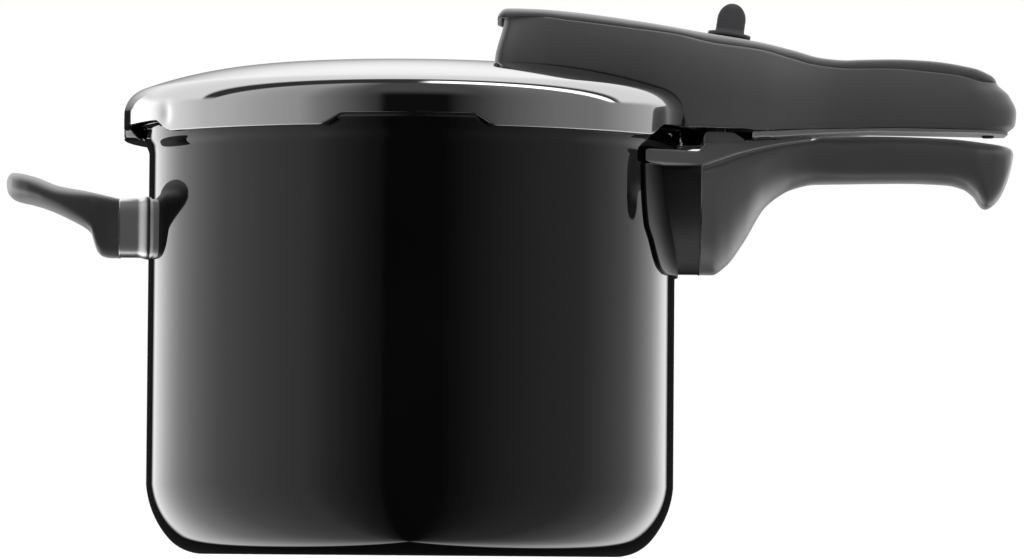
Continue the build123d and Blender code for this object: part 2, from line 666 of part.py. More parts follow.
# ======================================================================================
# Lid handle: walls, crowned cover and base plate
# ======================================================================================
ridge = [
    (LID_HANDLE_FRONT_X, rim_z + 45.7),
    at(-60.5, 44.9),
    at(-45.5, 42.8),
    at(-22.5, 39.9),
    at(-0.5, 37.3),
    at(15.0, 34.2),
    at(35.5, 32.1),
    at(48.0, 29.2),
    at(58.5, 26.8),
    at(73.5, 25.5),
    at(90.5, 25.8),
    at(107.5, 24.5),
    at(120.5, 23.1),
    (COVER_END_X, rim_z + 20.3),
]
wall_edge = [at(141.5, -1.2), at(128.5, -0.5), at(94.5, 0.1), at(73.5, -0.5), at(56.5, -1.2), at(32.0, -3.2)]
base_edge = [at(32.0, -5.1), at(43.0, -4.5), at(59.5, -2.7), at(83.5, -1.3), at(127.5, -1.7), at(141.5, -2.3)]
with BuildPart() as lid_envelope:
    with BuildSketch(Plane.XZ):
        with BuildLine():
            skin = lid_outline(-HANDLE_FIT)
            Polyline(skin[2] @ 1, (lid_r + HANDLE_FIT, 0), (0, 0), (0, crown_z + HANDLE_FIT))
        make_face()
    revolve(axis=Axis.Z)

with BuildPart() as lid_handle_body:
    nose = [at(143.0, 15.0), (HANDLE_END_X, rim_z + 7.5), at(145.6, 2.5)]
    stop = [
        (wall_x + 32.0, STOP_WALL_Z),
        (wall_x - 12.5, STOP_WALL_Z),
        (LID_HANDLE_FRONT_X - 2.0, rim_z + 21.5),
    ]
    extrude(side_points(0, ridge + nose + wall_edge + stop), amount=PAST_SIDE, both=True)
    extrude(lid_handle_plan(0), amount=PAST_TOP, mode=Mode.INTERSECT)
    # the recess that passes over the long handle's block, closed on the +Y side
    with BuildPart(mode=Mode.PRIVATE) as recess:
        with Locations((0, 0, RECESS_Z)):
            Cylinder(RECESS_R, RECESS_Z, align=(Align.CENTER, Align.CENTER, Align.MAX))
        split(bisect_by=Plane.XZ.offset(-RECESS_STOP_Y), keep=Keep.TOP)
    add(recess.part, mode=Mode.SUBTRACT)
    with BuildPart(mode=Mode.PRIVATE) as cavity:
        floor_z = RECESS_Z + RECESS_FLOOR
        extrude(
            side_points(0, [
                (0, 0), (CAVITY_OPEN_X, 0), (CAVITY_OPEN_X, floor_z), (RAIL_SCREW_X + 8.0, floor_z),
                (RAIL_SCREW_X + 36.0, floor_z + FLOOR_STEP), (HANDLE_END_X, floor_z + FLOOR_STEP),
                (HANDLE_END_X, PAST_TOP), (0, PAST_TOP),
            ]),
            amount=PAST_SIDE, both=True,
        )
        extrude(lid_handle_plan(HANDLE_WALL), amount=PAST_TOP, mode=Mode.INTERSECT)
        # solid nose beyond the cover's end
        split(bisect_by=Plane.YZ.offset(COVER_END_X - HANDLE_WALL - 2.0), keep=Keep.BOTTOM)
    add(cavity.part, mode=Mode.SUBTRACT)
    with Locations((BOLT_X, 0, floor_z)):
        Cylinder(BOLT_GUIDE_R, BOLT_GUIDE, align=(Align.CENTER, Align.CENTER, Align.MIN))
        Cylinder(BOLT_R + RUNNING, PAST_SIDE, mode=Mode.SUBTRACT)
    add(lid_envelope.part, mode=Mode.SUBTRACT)
    with Locations((RAIL_SCREW_X, RAIL_Y, RECESS_Z), (RAIL_SCREW_X, -RAIL_Y, RECESS_Z)):
        Cylinder(SCREW_R + HANDLE_FIT, 20.0, mode=Mode.SUBTRACT)
save(lid_handle_body.part, "lid_handle_body")

with BuildPart() as lid_handle_base:
    plate_top = [(x, z - HANDLE_FIT) for x, z in wall_edge]
    extrude(side_points(0, base_edge + plate_top), amount=PAST_SIDE, both=True)
    extrude(lid_handle_plan(0.6), amount=PAST_TOP, mode=Mode.INTERSECT)
    Cylinder(RECESS_R + PLATE_PLAY, 2 * PAST_TOP, mode=Mode.SUBTRACT)
    with Locations((RAIL_SCREW_X, RAIL_Y, RECESS_Z), (RAIL_SCREW_X, -RAIL_Y, RECESS_Z)):
        Cylinder(SCREW_HEAD_R + HEAD_PLAY, 20.0, mode=Mode.SUBTRACT)
save(lid_handle_base.part, "lid_handle_base")

with BuildPart() as lid_handle_cover:
    crest = [
        (COVER_END_X, rim_z + 22.5), at(127.5, 26.7), at(107.1, 29.8), at(93.5, 30.3), at(79.5, 30.0),
        at(72.5, 29.7), at(62.5, 30.4), at(49.2, 33.6), at(35.5, 36.4), at(8.3, 40.3),
        at(-19.0, 44.5), at(-46.5, 48.1), at(-59.9, 49.3), at(-73.1, 49.9),
        (LID_HANDLE_FRONT_X + 0.5, rim_z + 49.1),
    ]
    extrude(side_points(0, [(x, z + HANDLE_FIT) for x, z in ridge] + crest), amount=PAST_SIDE, both=True)
    extrude(lid_handle_plan(0), amount=PAST_TOP, mode=Mode.INTERSECT)
    with Locations(dome_plane(INDICATOR_X)):
        Cylinder(INDICATOR_CAP_R + CAP_PLAY, PAST_SIDE, mode=Mode.SUBTRACT)
    with Locations(selector_plane):
        Cylinder(SHAFT_R + BUSH_WALL + HANDLE_FIT, BUSH_DEPTH * 6, mode=Mode.SUBTRACT)
save(lid_handle_cover.part, "lid_handle_cover")

# ======================================================================================
# Steel rails that carry the lid handle, and its screws
# ======================================================================================
with BuildPart() as lid_handle_rails:
    rail_z = floor_z + RUNNING
    rail = [
        at(-28.5, -33.5), at(-28.5, 26.0), at(-5.5, 24.0), at(8.5, 18.0), at(14.5, 13.0),
        (wall_x + 16.5, rail_z + RAIL_SHEET), (RAIL_SCREW_X + 5.0, rail_z + RAIL_SHEET),
        (RAIL_SCREW_X + 5.0, rail_z), (wall_x + 14.3, rail_z), at(12.5, 11.5), at(7.5, 15.9),
        at(-8.5, 21.5), at(-8.5, -33.5),
    ]
    extrude(side_points(RAIL_Y + RAIL_HALF, rail), amount=2 * RAIL_HALF)
    mirror(about=Plane.XZ)
    add(lid_envelope.part, mode=Mode.SUBTRACT)
    with Locations((RAIL_SCREW_X, RAIL_Y, rail_z), (RAIL_SCREW_X, -RAIL_Y, rail_z)):
        Cylinder(SCREW_R + HANDLE_FIT, 20.0, mode=Mode.SUBTRACT)
save(lid_handle_rails.part, "lid_handle_rails")

with BuildPart() as lid_handle_screws:
    with Locations((RAIL_SCREW_X, RAIL_Y, RAIL_SEAT_Z), (RAIL_SCREW_X, -RAIL_Y, RAIL_SEAT_Z)):
        Cylinder(SCREW_R, rail_z - RAIL_SEAT_Z + 5, align=(Align.CENTER, Align.CENTER, Align.MIN))
        Cylinder(SCREW_HEAD_R, 1.7, align=(Align.CENTER, Align.CENTER, Align.MAX))
save(lid_handle_screws.part, "lid_handle_screws")

with BuildPart() as handle_bumper:
    with Locations((HANDLE_END_X - 12.2, 0, RECESS_Z)):
        Cylinder(BUMPER_R, 1.0, align=(Align.CENTER, Align.CENTER, Align.MAX))
    fillet(handle_bumper.edges().group_by(Axis.Z)[0], 0.5)
save(handle_bumper.part, "handle_bumper")


def ring(plane, outer_r, inner_r, low, high):
    """Round piece with a bore, from low to high along the plane's normal."""
    with BuildPart() as piece:
        with BuildSketch(plane.offset(low)):
            Circle(outer_r)
            if inner_r > 0:
                Circle(inner_r, mode=Mode.SUBTRACT)
        extrude(amount=high - low)
    return piece.part


def spring(plane, radius, wire_r, low, high, turns):
    """Open coil of round wire, from low to high along the plane's normal."""
    rise = high - low - 2 * wire_r
    with BuildPart() as coil:
        with BuildLine():
            path = Helix(rise / turns, rise, radius, center=(0, 0, low + wire_r))
        with BuildSketch(Plane(path @ 0, z_dir=path % 0)):
            Circle(wire_r)
        sweep(path=path, is_frenet=True)
    return plane.location * coil.part


# ======================================================================================
# Main valve through the lid
# ======================================================================================
valve_plane = dome_plane(VALVE_X)
with BuildPart() as valve_housing:
    add(ring(valve_plane, VALVE_NECK_R, VALVE_PORT_R, -VALVE_NECK, RUNNING))
    add(ring(valve_plane, VALVE_R, VALVE_PORT_R, RUNNING, VALVE_SEAT))
    add(ring(valve_plane, VALVE_R, PISTON_R + RUNNING, VALVE_SEAT, VALVE_HEIGHT))
save(valve_housing.part, "valve_housing")

gasket_high = -LID_WALL - DOME_SEAT
gasket_low = gasket_high - GASKET_THICKNESS
with BuildPart() as valve_gasket:
    add(ring(valve_plane, VALVE_R + 0.6, VALVE_NECK_R + HANDLE_FIT, gasket_low, gasket_high))
save(valve_gasket.part, "valve_gasket")

with BuildPart() as valve_nut:
    with BuildSketch(valve_plane.offset(gasket_low - RUNNING)):
        RegularPolygon(VALVE_NUT_R, 6)
        Circle(VALVE_NECK_R + HANDLE_FIT, mode=Mode.SUBTRACT)
    extrude(amount=-NUT_THICKNESS)
save(valve_nut.part, "valve_nut")

with BuildPart() as valve_piston:
    add(ring(valve_plane, PISTON_R, 0.0, VALVE_SEAT + RUNNING, VALVE_SEAT + PISTON_HEIGHT))
save(valve_piston.part, "valve_piston")

valve_spring_low = VALVE_SEAT + PISTON_HEIGHT + RUNNING
valve_spring_high = VALVE_HEIGHT + 3.0
with BuildPart() as valve_cap:
    add(ring(valve_plane, VALVE_R - 0.4, PISTON_R + 0.6, VALVE_HEIGHT + RUNNING, valve_spring_high))
    add(ring(valve_plane, VALVE_R - 0.4, 1.2, valve_spring_high, valve_spring_high + 1.4))
save(valve_cap.part, "valve_cap")

valve_spring = spring(valve_plane, 3.0, 0.4, valve_spring_low, valve_spring_high - RUNNING, 4)
save(valve_spring, "valve_spring")

# ======================================================================================
# Second safety valve, beside the main valve
# ======================================================================================
safety_plane = dome_plane(SAFETY_X, SAFETY_Y)
with BuildPart() as safety_valve_body:
    add(ring(safety_plane, SAFETY_NECK_R, SAFETY_PORT_R, -SAFETY_NECK, RUNNING))
    add(ring(safety_plane, SAFETY_R, SAFETY_PORT_R, RUNNING, SAFETY_SEAT))
    add(ring(safety_plane, SAFETY_R, SAFETY_PLUNGER_R + RUNNING, SAFETY_SEAT, SAFETY_HEIGHT))
save(safety_valve_body.part, "safety_valve_body")

with BuildPart() as safety_nut:
    with BuildSketch(safety_plane.offset(-LID_WALL - DOME_SEAT)):
        RegularPolygon(SAFETY_R + 0.8, 6)
        Circle(SAFETY_NECK_R + HANDLE_FIT, mode=Mode.SUBTRACT)
    extrude(amount=-NUT_THICKNESS)
save(safety_nut.part, "safety_nut")

with BuildPart() as safety_plunger:
    plunger_high = SAFETY_SEAT + 2.0
    add(ring(safety_plane, SAFETY_PLUNGER_R, 0.0, SAFETY_SEAT + RUNNING, plunger_high))
    add(ring(safety_plane, SAFETY_PIN_R, 0.0, plunger_high, SAFETY_HEIGHT + 2.4))
save(safety_plunger.part, "safety_plunger")

with BuildPart() as safety_cap:
    add(ring(safety_plane, SAFETY_R, SAFETY_PIN_R + RUNNING, SAFETY_HEIGHT + RUNNING, SAFETY_HEIGHT + 1.6))
save(safety_cap.part, "safety_cap")

safety_spring = spring(
    safety_plane, 2.1, 0.35, plunger_high + RUNNING, SAFETY_HEIGHT, 4,
)
save(safety_spring, "safety_spring")

# ======================================================================================
# Pressure indicator
# ======================================================================================
indicator_plane = dome_plane(INDICATOR_X)
with BuildPart() as indicator_seat:
    add(ring(indicator_plane, INDICATOR_NECK_R + 2.0, STEM_R + RUNNING, RUNNING, 1.5))
    add(ring(indicator_plane, INDICATOR_NECK_R, STEM_R + RUNNING, -LID_WALL - DOME_SEAT, RUNNING))
    add(ring(
        indicator_plane, INDICATOR_NECK_R + 2.0, STEM_R + RUNNING,
        -LID_WALL - 1.5, -LID_WALL - DOME_SEAT,
    ))
save(indicator_seat.part, "indicator_seat")

with BuildPart() as indicator_stem:
    add(ring(indicator_plane, STEM_R, 0.0, INDICATOR_FOOT, INDICATOR_CAP_Z))
    add(ring(indicator_plane, STEM_R + 1.0, 0.0, INDICATOR_FOOT - 1.0, INDICATOR_FOOT))
save(indicator_stem.part, "indicator_stem")

with BuildPart() as indicator_cap:
    add(ring(indicator_plane, INDICATOR_CAP_R, 0.0, INDICATOR_CAP_Z, INDICATOR_TOP_Z))
    fillet(indicator_cap.edges().group_by(Axis.Z)[-1], 1.2)
save(indicator_cap.part, "indicator_cap")

# ======================================================================================
# Selector: bush in the cover, knob with a fin, shaft with a cam
# ======================================================================================
with BuildPart() as selector_bush:
    add(ring(selector_plane, SHAFT_R + BUSH_WALL, SHAFT_R + RUNNING, -BUSH_DEPTH, BUSH_RISE))
    bush_collar_r = SHAFT_R + BUSH_WALL + BUSH_COLLAR
    add(ring(selector_plane, bush_collar_r, SHAFT_R + RUNNING, BUSH_RISE, KNOB_LOW - 2 * RUNNING))
save(selector_bush.part, "selector_bush")

with BuildPart() as selector_knob:
    add(ring(selector_plane, KNOB_R, 0.0, KNOB_LOW, KNOB_LOW + KNOB_FLANGE))
    with BuildSketch(
        Plane(selector_plane.origin, x_dir=selector_plane.x_dir, z_dir=(0, -1, 0))
    ) as fin_side:
        with BuildLine():
            low = KNOB_LOW + KNOB_FLANGE - 0.2
            side_left = Line((-FIN_HALF, low), (-FIN_HALF + 0.7, FIN_TOP - 7.5))
            crown = ThreePointArc(side_left @ 1, (0.2, FIN_TOP), (FIN_HALF - 0.1, FIN_TOP - 7.0))
            Polyline(crown @ 1, (FIN_HALF, low), (-FIN_HALF, low))
        make_face()
    extrude(fin_side.sketch, amount=FIN_THICKNESS / 2, both=True)
save(selector_knob.part, "selector_knob")

with BuildPart() as selector_shaft:
    add(ring(selector_plane, SHAFT_R, 0.0, -SHAFT_LENGTH, KNOB_LOW))
    add(ring(selector_plane, CAM_R, 0.0, -SHAFT_LENGTH - CAM_THICKNESS, -SHAFT_LENGTH))
save(selector_shaft.part, "selector_shaft")

# ======================================================================================
# Lock bolt that drops into the long handle's block, and its spring
# ======================================================================================
bolt_plane = Plane(origin=(BOLT_X, 0, 0))
with BuildPart() as lock_bolt:
    add(ring(bolt_plane, BOLT_R, 0.0, RECESS_Z + 0.2, BOLT_HEAD_Z))
    add(ring(bolt_plane, BOLT_R + 2.0, 0.0, BOLT_HEAD_Z, BOLT_HEAD_Z + 2.0))
save(lock_bolt.part, "lock_bolt")

lock_spring = spring(bolt_plane, BOLT_R + 1.0, 0.4, floor_z + BOLT_GUIDE + RUNNING, BOLT_HEAD_Z - RUNNING, 3)
save(lock_spring, "lock_spring")
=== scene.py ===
"""Looks of a stovetop pressure cooker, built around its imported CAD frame."""

import logging
import math
from dataclasses import dataclass
from enum import Enum
from typing import Callable, Optional, Sequence

import bmesh
import bpy
from mathutils import Matrix, Vector


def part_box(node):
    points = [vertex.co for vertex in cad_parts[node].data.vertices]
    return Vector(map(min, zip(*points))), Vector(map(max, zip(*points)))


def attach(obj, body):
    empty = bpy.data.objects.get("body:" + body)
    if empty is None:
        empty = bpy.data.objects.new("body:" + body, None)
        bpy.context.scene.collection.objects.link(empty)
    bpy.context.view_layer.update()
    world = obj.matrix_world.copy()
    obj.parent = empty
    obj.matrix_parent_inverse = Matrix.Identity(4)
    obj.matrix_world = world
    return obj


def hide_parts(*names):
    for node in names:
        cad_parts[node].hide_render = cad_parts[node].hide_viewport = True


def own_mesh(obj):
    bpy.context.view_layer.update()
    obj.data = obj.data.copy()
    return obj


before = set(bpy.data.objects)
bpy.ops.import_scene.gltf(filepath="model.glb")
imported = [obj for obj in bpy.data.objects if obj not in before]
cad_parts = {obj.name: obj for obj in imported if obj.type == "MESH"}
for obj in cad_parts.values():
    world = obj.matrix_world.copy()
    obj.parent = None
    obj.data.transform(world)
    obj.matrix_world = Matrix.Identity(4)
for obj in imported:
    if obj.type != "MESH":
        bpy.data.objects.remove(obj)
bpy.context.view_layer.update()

log = logging.getLogger("cooker")
MM = 0.001
Point2 = tuple[float, float]


# --------------------------------------------------------------------------------------
# Curves and outlines, in millimetres
# --------------------------------------------------------------------------------------
class Course:
    """A smooth course of one size along another, through chosen knots, without overshoot."""

    def __init__(self, *knots: Point2) -> None:
        """Stores the knots and works out the slope at each.

        Args:
            knots: Pairs of place and value, in rising order of place.
        """
        self.knots = knots
        rises = [(b[1] - a[1]) / (b[0] - a[0]) for a, b in zip(knots, knots[1:])]
        slopes = [rises[0]]
        for before, after in zip(rises, rises[1:]):
            same_way = before * after > 0
            slopes.append(2 * before * after / (before + after) if same_way else 0.0)
        slopes.append(rises[-1])
        self.slopes = slopes

    def __call__(self, place: float) -> float:
        """Value at a place, held level beyond the first and last knots.

        Args:
            place: Where to read the course.

        Returns:
            The value there.
        """
        knots = self.knots
        if place <= knots[0][0]:
            return knots[0][1]
        if place >= knots[-1][0]:
            return knots[-1][1]
        index = next(i for i in range(len(knots) - 1) if place <= knots[i + 1][0])
        (x0, y0), (x1, y1) = knots[index], knots[index + 1]
        span = x1 - x0
        t = (place - x0) / span
        start = (1 + 2 * t) * (1 - t) ** 2 * y0 + t * (1 - t) ** 2 * span * self.slopes[index]
        end = t * t * (3 - 2 * t) * y1 + t * t * (t - 1) * span * self.slopes[index + 1]
        return start + end


class Walk:
    """An outline drawn by walking: straight runs and arcs that leave in the walker's heading."""

    def __init__(self, start: Point2, heading: float) -> None:
        """Starts the outline.

        Args:
            start: First point.
            heading: Direction of travel in degrees, 0 along the radius, 90 upwards.
        """
        self.points: list[Point2] = [start]
        self.heading = heading

    def to(self, *points: Point2) -> "Walk":
        """Adds straight runs to each point in turn and faces along the last.

        Args:
            points: Corners of the runs.

        Returns:
            The same outline.
        """
        for point in points:
            last = self.points[-1]
            self.heading = math.degrees(math.atan2(point[1] - last[1], point[0] - last[0]))
            self.points.append(point)
        return self

    def turn(self, radius: float, degrees: float, steps: int) -> "Walk":
        """Adds an arc, to the left where degrees is positive.

        Args:
            radius: Radius of the arc.
            degrees: Angle turned through.
            steps: Number of chords.

        Returns:
            The same outline.
        """
        side = math.copysign(90.0, degrees)
        x, y = self.points[-1]
        to_centre = math.radians(self.heading + side)
        cx, cy = x + radius * math.cos(to_centre), y + radius * math.sin(to_centre)
        for step in range(1, steps + 1):
            angle = math.radians(self.heading - side + degrees * step / steps)
            self.points.append((cx + radius * math.cos(angle), cy + radius * math.sin(angle)))
        self.heading += degrees
        return self


def ease(low: float, high: float, value: float) -> float:
    """Smooth step from 0 at low to 1 at high.

    Args:
        low: Where the step starts.
        high: Where the step ends.
        value: Where to read it.

    Returns:
        The step's height, 0 to 1.
    """
    t = min(1.0, max(0.0, (value - low) / (high - low)))
    return t * t * (3 - 2 * t)


def mix(start: float, end: float, share: float) -> float:
    """Value a share of the way from start to end."""
    return start + (end - start) * share


def rounded(angle: float, power: float) -> Point2:
    """Point on a rounded square of half-size 1.

    Args:
        angle: Direction in radians.
        power: 2 gives a circle, more gives squarer corners.

    Returns:
        The point's two coordinates.
    """
    c, s = math.cos(angle), math.sin(angle)
    return (
        math.copysign(abs(c) ** (2 / power), c),
        math.copysign(abs(s) ** (2 / power), s),
    )


# --------------------------------------------------------------------------------------
# Meshes
# --------------------------------------------------------------------------------------
Place = Callable[[float, float], Sequence[float]]


class Facing(Enum):
    """How a new mesh's faces are turned."""

    CLOSED = "closed"
    AWAY = "away from the reference point"


def finish_mesh(bm: bmesh.types.BMesh, name: str, facing: Facing, inside: Vector) -> bpy.types.Object:
    """Merges doubles, points the faces outwards and makes the object.

    Args:
        bm: The shape, in metres. It is freed.
        name: Name of the piece.
        facing: Whether the shape is closed or an open sheet.
        inside: A point behind an open sheet, in metres.

    Returns:
        The new object, smooth shaded.
    """
    bmesh.ops.remove_doubles(bm, verts=bm.verts, dist=2e-6)
    bmesh.ops.dissolve_degenerate(bm, dist=1e-6, edges=bm.edges)
    bmesh.ops.recalc_face_normals(bm, faces=bm.faces)
    if facing is Facing.AWAY:
        outward = sum(
            (f.calc_center_median() - inside).normalized().dot(f.normal) * f.calc_area() for f in bm.faces
        )
        if outward < 0:
            bmesh.ops.reverse_faces(bm, faces=bm.faces)
    mesh = bpy.data.meshes.new(name)
    bm.to_mesh(mesh)
    bm.free()
    mesh.polygons.foreach_set("use_smooth", [True] * len(mesh.polygons))
    mesh.set_sharp_from_angle(angle=math.radians(40))
    piece = bpy.data.objects.new(name, mesh)
    bpy.context.scene.collection.objects.link(piece)
    return piece


def shaped_grid(
    name: str,
    columns: int,
    rows: int,
    place: Place,
    inside: Optional[Sequence[float]] = None,
) -> bpy.types.Object:
    """Makes a piece by moving a grid's vertices. Edges that land on each other are joined.

    Args:
        name: Name of the piece.
        columns: Faces along the first direction.
        rows: Faces along the second direction.
        place: Gives a position in millimetres for each pair of shares from 0 to 1.
        inside: A point behind the sheet in millimetres, where the shape is open.

    Returns:
        The new object.
    """
    bm = bmesh.new()
    bmesh.ops.create_grid(bm, x_segments=columns, y_segments=rows, size=0.5)
    for vert in bm.verts:
        vert.co = Vector(place(vert.co.x + 0.5, vert.co.y + 0.5)) * MM
    if inside is None:
        fill_ends(bm)
        return finish_mesh(bm, name, Facing.CLOSED, Vector())
    return finish_mesh(bm, name, Facing.AWAY, Vector(inside) * MM)


def fill_ends(bm: bmesh.types.BMesh) -> None:
    """Closes the open loops that are left once a rolled grid's seam is joined.

    Args:
        bm: The rolled grid, changed in place.
    """
    bmesh.ops.remove_doubles(bm, verts=bm.verts, dist=2e-6)
    rim = [e for e in bm.edges if e.is_boundary]
    if rim:
        bmesh.ops.holes_fill(bm, edges=rim, sides=0)


def turned(
    name: str,
    outline: Sequence[Point2],
    steps: int,
    matrix: Optional[Matrix] = None,
    reshape: Optional[Callable[[Vector], None]] = None,
    inside: Optional[Sequence[float]] = None,
) -> bpy.types.Object:
    """Makes a round piece by spinning an outline about the Z axis.

    Args:
        name: Name of the piece.
        outline: Radius and height pairs in millimetres.
        steps: Number of steps round the axis.
        matrix: Where the finished piece goes, in metres.
        reshape: Moves each vertex in place, in millimetres, before the piece is placed.
        inside: A point behind the sheet in millimetres, where the outline leaves it open.

    Returns:
        The new object.
    """
    bm = bmesh.new()
    verts = [bm.verts.new((radius, 0, height)) for radius, height in outline]
    edges = [bm.edges.new(pair) for pair in zip(verts, verts[1:])]
    bmesh.ops.spin(
        bm, geom=verts + edges, cent=(0, 0, 0), axis=(0, 0, 1), angle=math.tau, steps=steps,
        use_merge=True, use_duplicate=False,
    )
    if reshape:
        for vert in bm.verts:
            reshape(vert.co)
    bmesh.ops.scale(bm, vec=(MM, MM, MM), verts=bm.verts)
    if matrix:
        bmesh.ops.transform(bm, matrix=matrix, verts=bm.verts)
    if inside is None:
        return finish_mesh(bm, name, Facing.CLOSED, Vector())
    return finish_mesh(bm, name, Facing.AWAY, Vector(inside) * MM)


def thicken(piece: bpy.types.Object, thickness: float, inwards: bool = True) -> None:
    """Gives a sheet its thickness.

    Args:
        piece: The sheet.
        thickness: The thickness in millimetres.
        inwards: Whether it grows inwards from the faces, or outwards.
    """
    wall = piece.modifiers.new("wall", "SOLIDIFY")
    wall.thickness = thickness * MM
    wall.offset = -1 if inwards else 1
    wall.use_even_offset = True
    wall.use_rim = True


def soften(piece: bpy.types.Object, width: float, degrees: float = 35.0, segments: int = 3) -> None:
    """Rounds a piece's sharp edges.

    Args:
        piece: The piece to finish.
        width: Width of the rounding in millimetres.
        degrees: Edges sharper than this are rounded.
        segments: Faces across the rounding.
    """
    bevel = piece.modifiers.new("soft edges", "BEVEL")
    bevel.width = width * MM
    bevel.segments = segments
    bevel.limit_method = "ANGLE"
    bevel.angle_limit = math.radians(degrees)
    bevel.harden_normals = True
    bevel.use_clamp_overlap = True


# --------------------------------------------------------------------------------------
# Shader building
# --------------------------------------------------------------------------------------
class Value:
    """A shader socket whose Python operators add Math nodes."""

    def __init__(self, graph: "Graph", socket: bpy.types.NodeSocket) -> None:
        """Wraps a socket.

        Args:
            graph: The material that the socket belongs to.
            socket: An output socket with a number.
        """
        self.graph = graph
        self.socket = socket

    def _math(self, operation: str, *terms: "Value | float") -> "Value":
        """Adds one Math node with these terms as its inputs."""
        return self.graph.node("ShaderNodeMath", {"operation": operation}, dict(enumerate(terms)))

    def __add__(self, other: "Value | float") -> "Value":
        """Sum."""
        return self._math("ADD", self, other)

    __radd__ = __add__

    def __sub__(self, other: "Value | float") -> "Value":
        """Difference."""
        return self._math("SUBTRACT", self, other)

    def __rsub__(self, other: float) -> "Value":
        """Difference from a number."""
        return self._math("SUBTRACT", other, self)

    def __mul__(self, other: "Value | float") -> "Value":
        """Product."""
        return self._math("MULTIPLY", self, other)

    __rmul__ = __mul__

    def __truediv__(self, other: "Value | float") -> "Value":
        """Quotient."""
        return self._math("DIVIDE", self, other)

    def __pow__(self, other: "Value | float") -> "Value":
        """Power."""
        return self._math("POWER", self, other)

    def step(self, low: float, high: float) -> "Value":
        """Smooth step from 0 to 1.

        Args:
            low: Where the step starts.
            high: Where it ends.

        Returns:
            The step.
        """
        return self.graph.node(
            "ShaderNodeMapRange",
            {"interpolation_type": "SMOOTHSTEP"},
            {"Value": self, "From Min": low, "From Max": high, "To Min": 0.0, "To Max": 1.0},
        )


class Graph:
    """A node tree under construction, with one method that makes every node."""

    def __init__(self, tree: bpy.types.NodeTree) -> None:
        """Empties the tree.

        Args:
            tree: The node tree of a material or of the world.
        """
        tree.nodes.clear()
        self.tree = tree

    def node(
        self,
        kind: str,
        settings: Optional[dict] = None,
        inputs: Optional[dict] = None,
        output: "str | int" = 0,
    ) -> Value:
        """Adds a node.

        Args:
            kind: Blender's name of the node type.
            settings: Properties of the node, set before its sockets.
            inputs: Values or links, by socket name or number.
            output: The output socket to return.

        Returns:
            The chosen output.
        """
        made = self.tree.nodes.new(kind)
        for key, setting in (settings or {}).items():
            if key == "stops":
                self._stops(made.color_ramp, setting)
            else:
                setattr(made, key, setting)
        for key, value in (inputs or {}).items():
            if isinstance(value, Value):
                self.tree.links.new(value.socket, made.inputs[key])
            else:
                made.inputs[key].default_value = value
        return Value(self, made.outputs[output]) if made.outputs else Value(self, None)

    @staticmethod
    def _stops(ramp: bpy.types.ColorRamp, stops: Sequence[Point2]) -> None:
        """Sets a ramp's stops.

        Args:
            ramp: The ramp.
            stops: Pairs of place and grey level, in rising order of place.
        """
        while len(ramp.elements) > 1:
            ramp.elements.remove(ramp.elements[-1])
        for index, (place, level) in enumerate(stops):
            stop = ramp.elements[0] if index == 0 else ramp.elements.new(place)
            stop.position = place
            stop.color = (level, level, level, 1)

    def place(self) -> Value:
        """The surface point in the object's own coordinates, in metres."""
        return self.node("ShaderNodeTexCoord", output="Object")

    def stretched(self, scale: Sequence[float], turn: Sequence[float] = (0, 0, 0)) -> Value:
        """The surface point, turned and scaled by axis.

        Args:
            scale: Scale on each axis.
            turn: Rotation on each axis, in radians.

        Returns:
            The new coordinates.
        """
        return self.node(
            "ShaderNodeMapping", {}, {"Vector": self.place(), "Rotation": turn, "Scale": scale}
        )

    def noise(self, scale: float, detail: float = 2.0, vector: Optional[Value] = None) -> Value:
        """Soft noise from 0 to 1.

        Args:
            scale: Features per metre.
            detail: Octaves.
            vector: Coordinates to read, the surface point where none are given.

        Returns:
            The noise value.
        """
        return self.node(
            "ShaderNodeTexNoise", {"noise_dimensions": "3D"},
            {"Vector": vector or self.place(), "Scale": scale, "Detail": detail, "Roughness": 0.55},
        )

    def tint(self, share: Value, dark: Sequence[float], light: Sequence[float]) -> Value:
        """Mixes two colours.

        Args:
            share: 0 gives the first colour, 1 the second.
            dark: First colour.
            light: Second colour.

        Returns:
            The mixed colour.
        """
        return self.node(
            "ShaderNodeMix", {"data_type": "RGBA"},
            {"Factor": share, 6: (*dark, 1), 7: (*light, 1)}, output=2,
        )

    def bump(
        self, height: Value, depth: float, strength: float = 1.0, under: Optional[Value] = None
    ) -> Value:
        """Relief from a height.

        Args:
            height: Height from 0 to 1.
            depth: What a height of 1 measures, in millimetres.
            strength: Share of the relief that is kept.
            under: Another relief that this one is added to.

        Returns:
            The normal.
        """
        links = {"Height": height, "Distance": depth * MM, "Strength": strength}
        if under:
            links["Normal"] = under
        return self.node("ShaderNodeBump", {}, links)

    def surface(self, inputs: dict) -> None:
        """Ends a material in a principled shader with these inputs."""
        shader = self.node("ShaderNodeBsdfPrincipled", {}, inputs)
        self.node("ShaderNodeOutputMaterial", {}, {"Surface": shader})


@dataclass(frozen=True)
class Finish:
    """A surface finish. Each kind of finish writes its own nodes."""

    name: str

    def write(self, graph: Graph) -> None:
        """Writes the nodes of this finish.

        Args:
            graph: The material's node tree.
        """
        raise NotImplementedError

    def material(self) -> bpy.types.Material:
        """Makes the material, once.

        Returns:
            The material, new or reused.
        """
        found = bpy.data.materials.get(self.name)
        if found:
            return found
        made = bpy.data.materials.new(self.name)
        made.use_nodes = True
        self.write(Graph(made.node_tree))
        return made


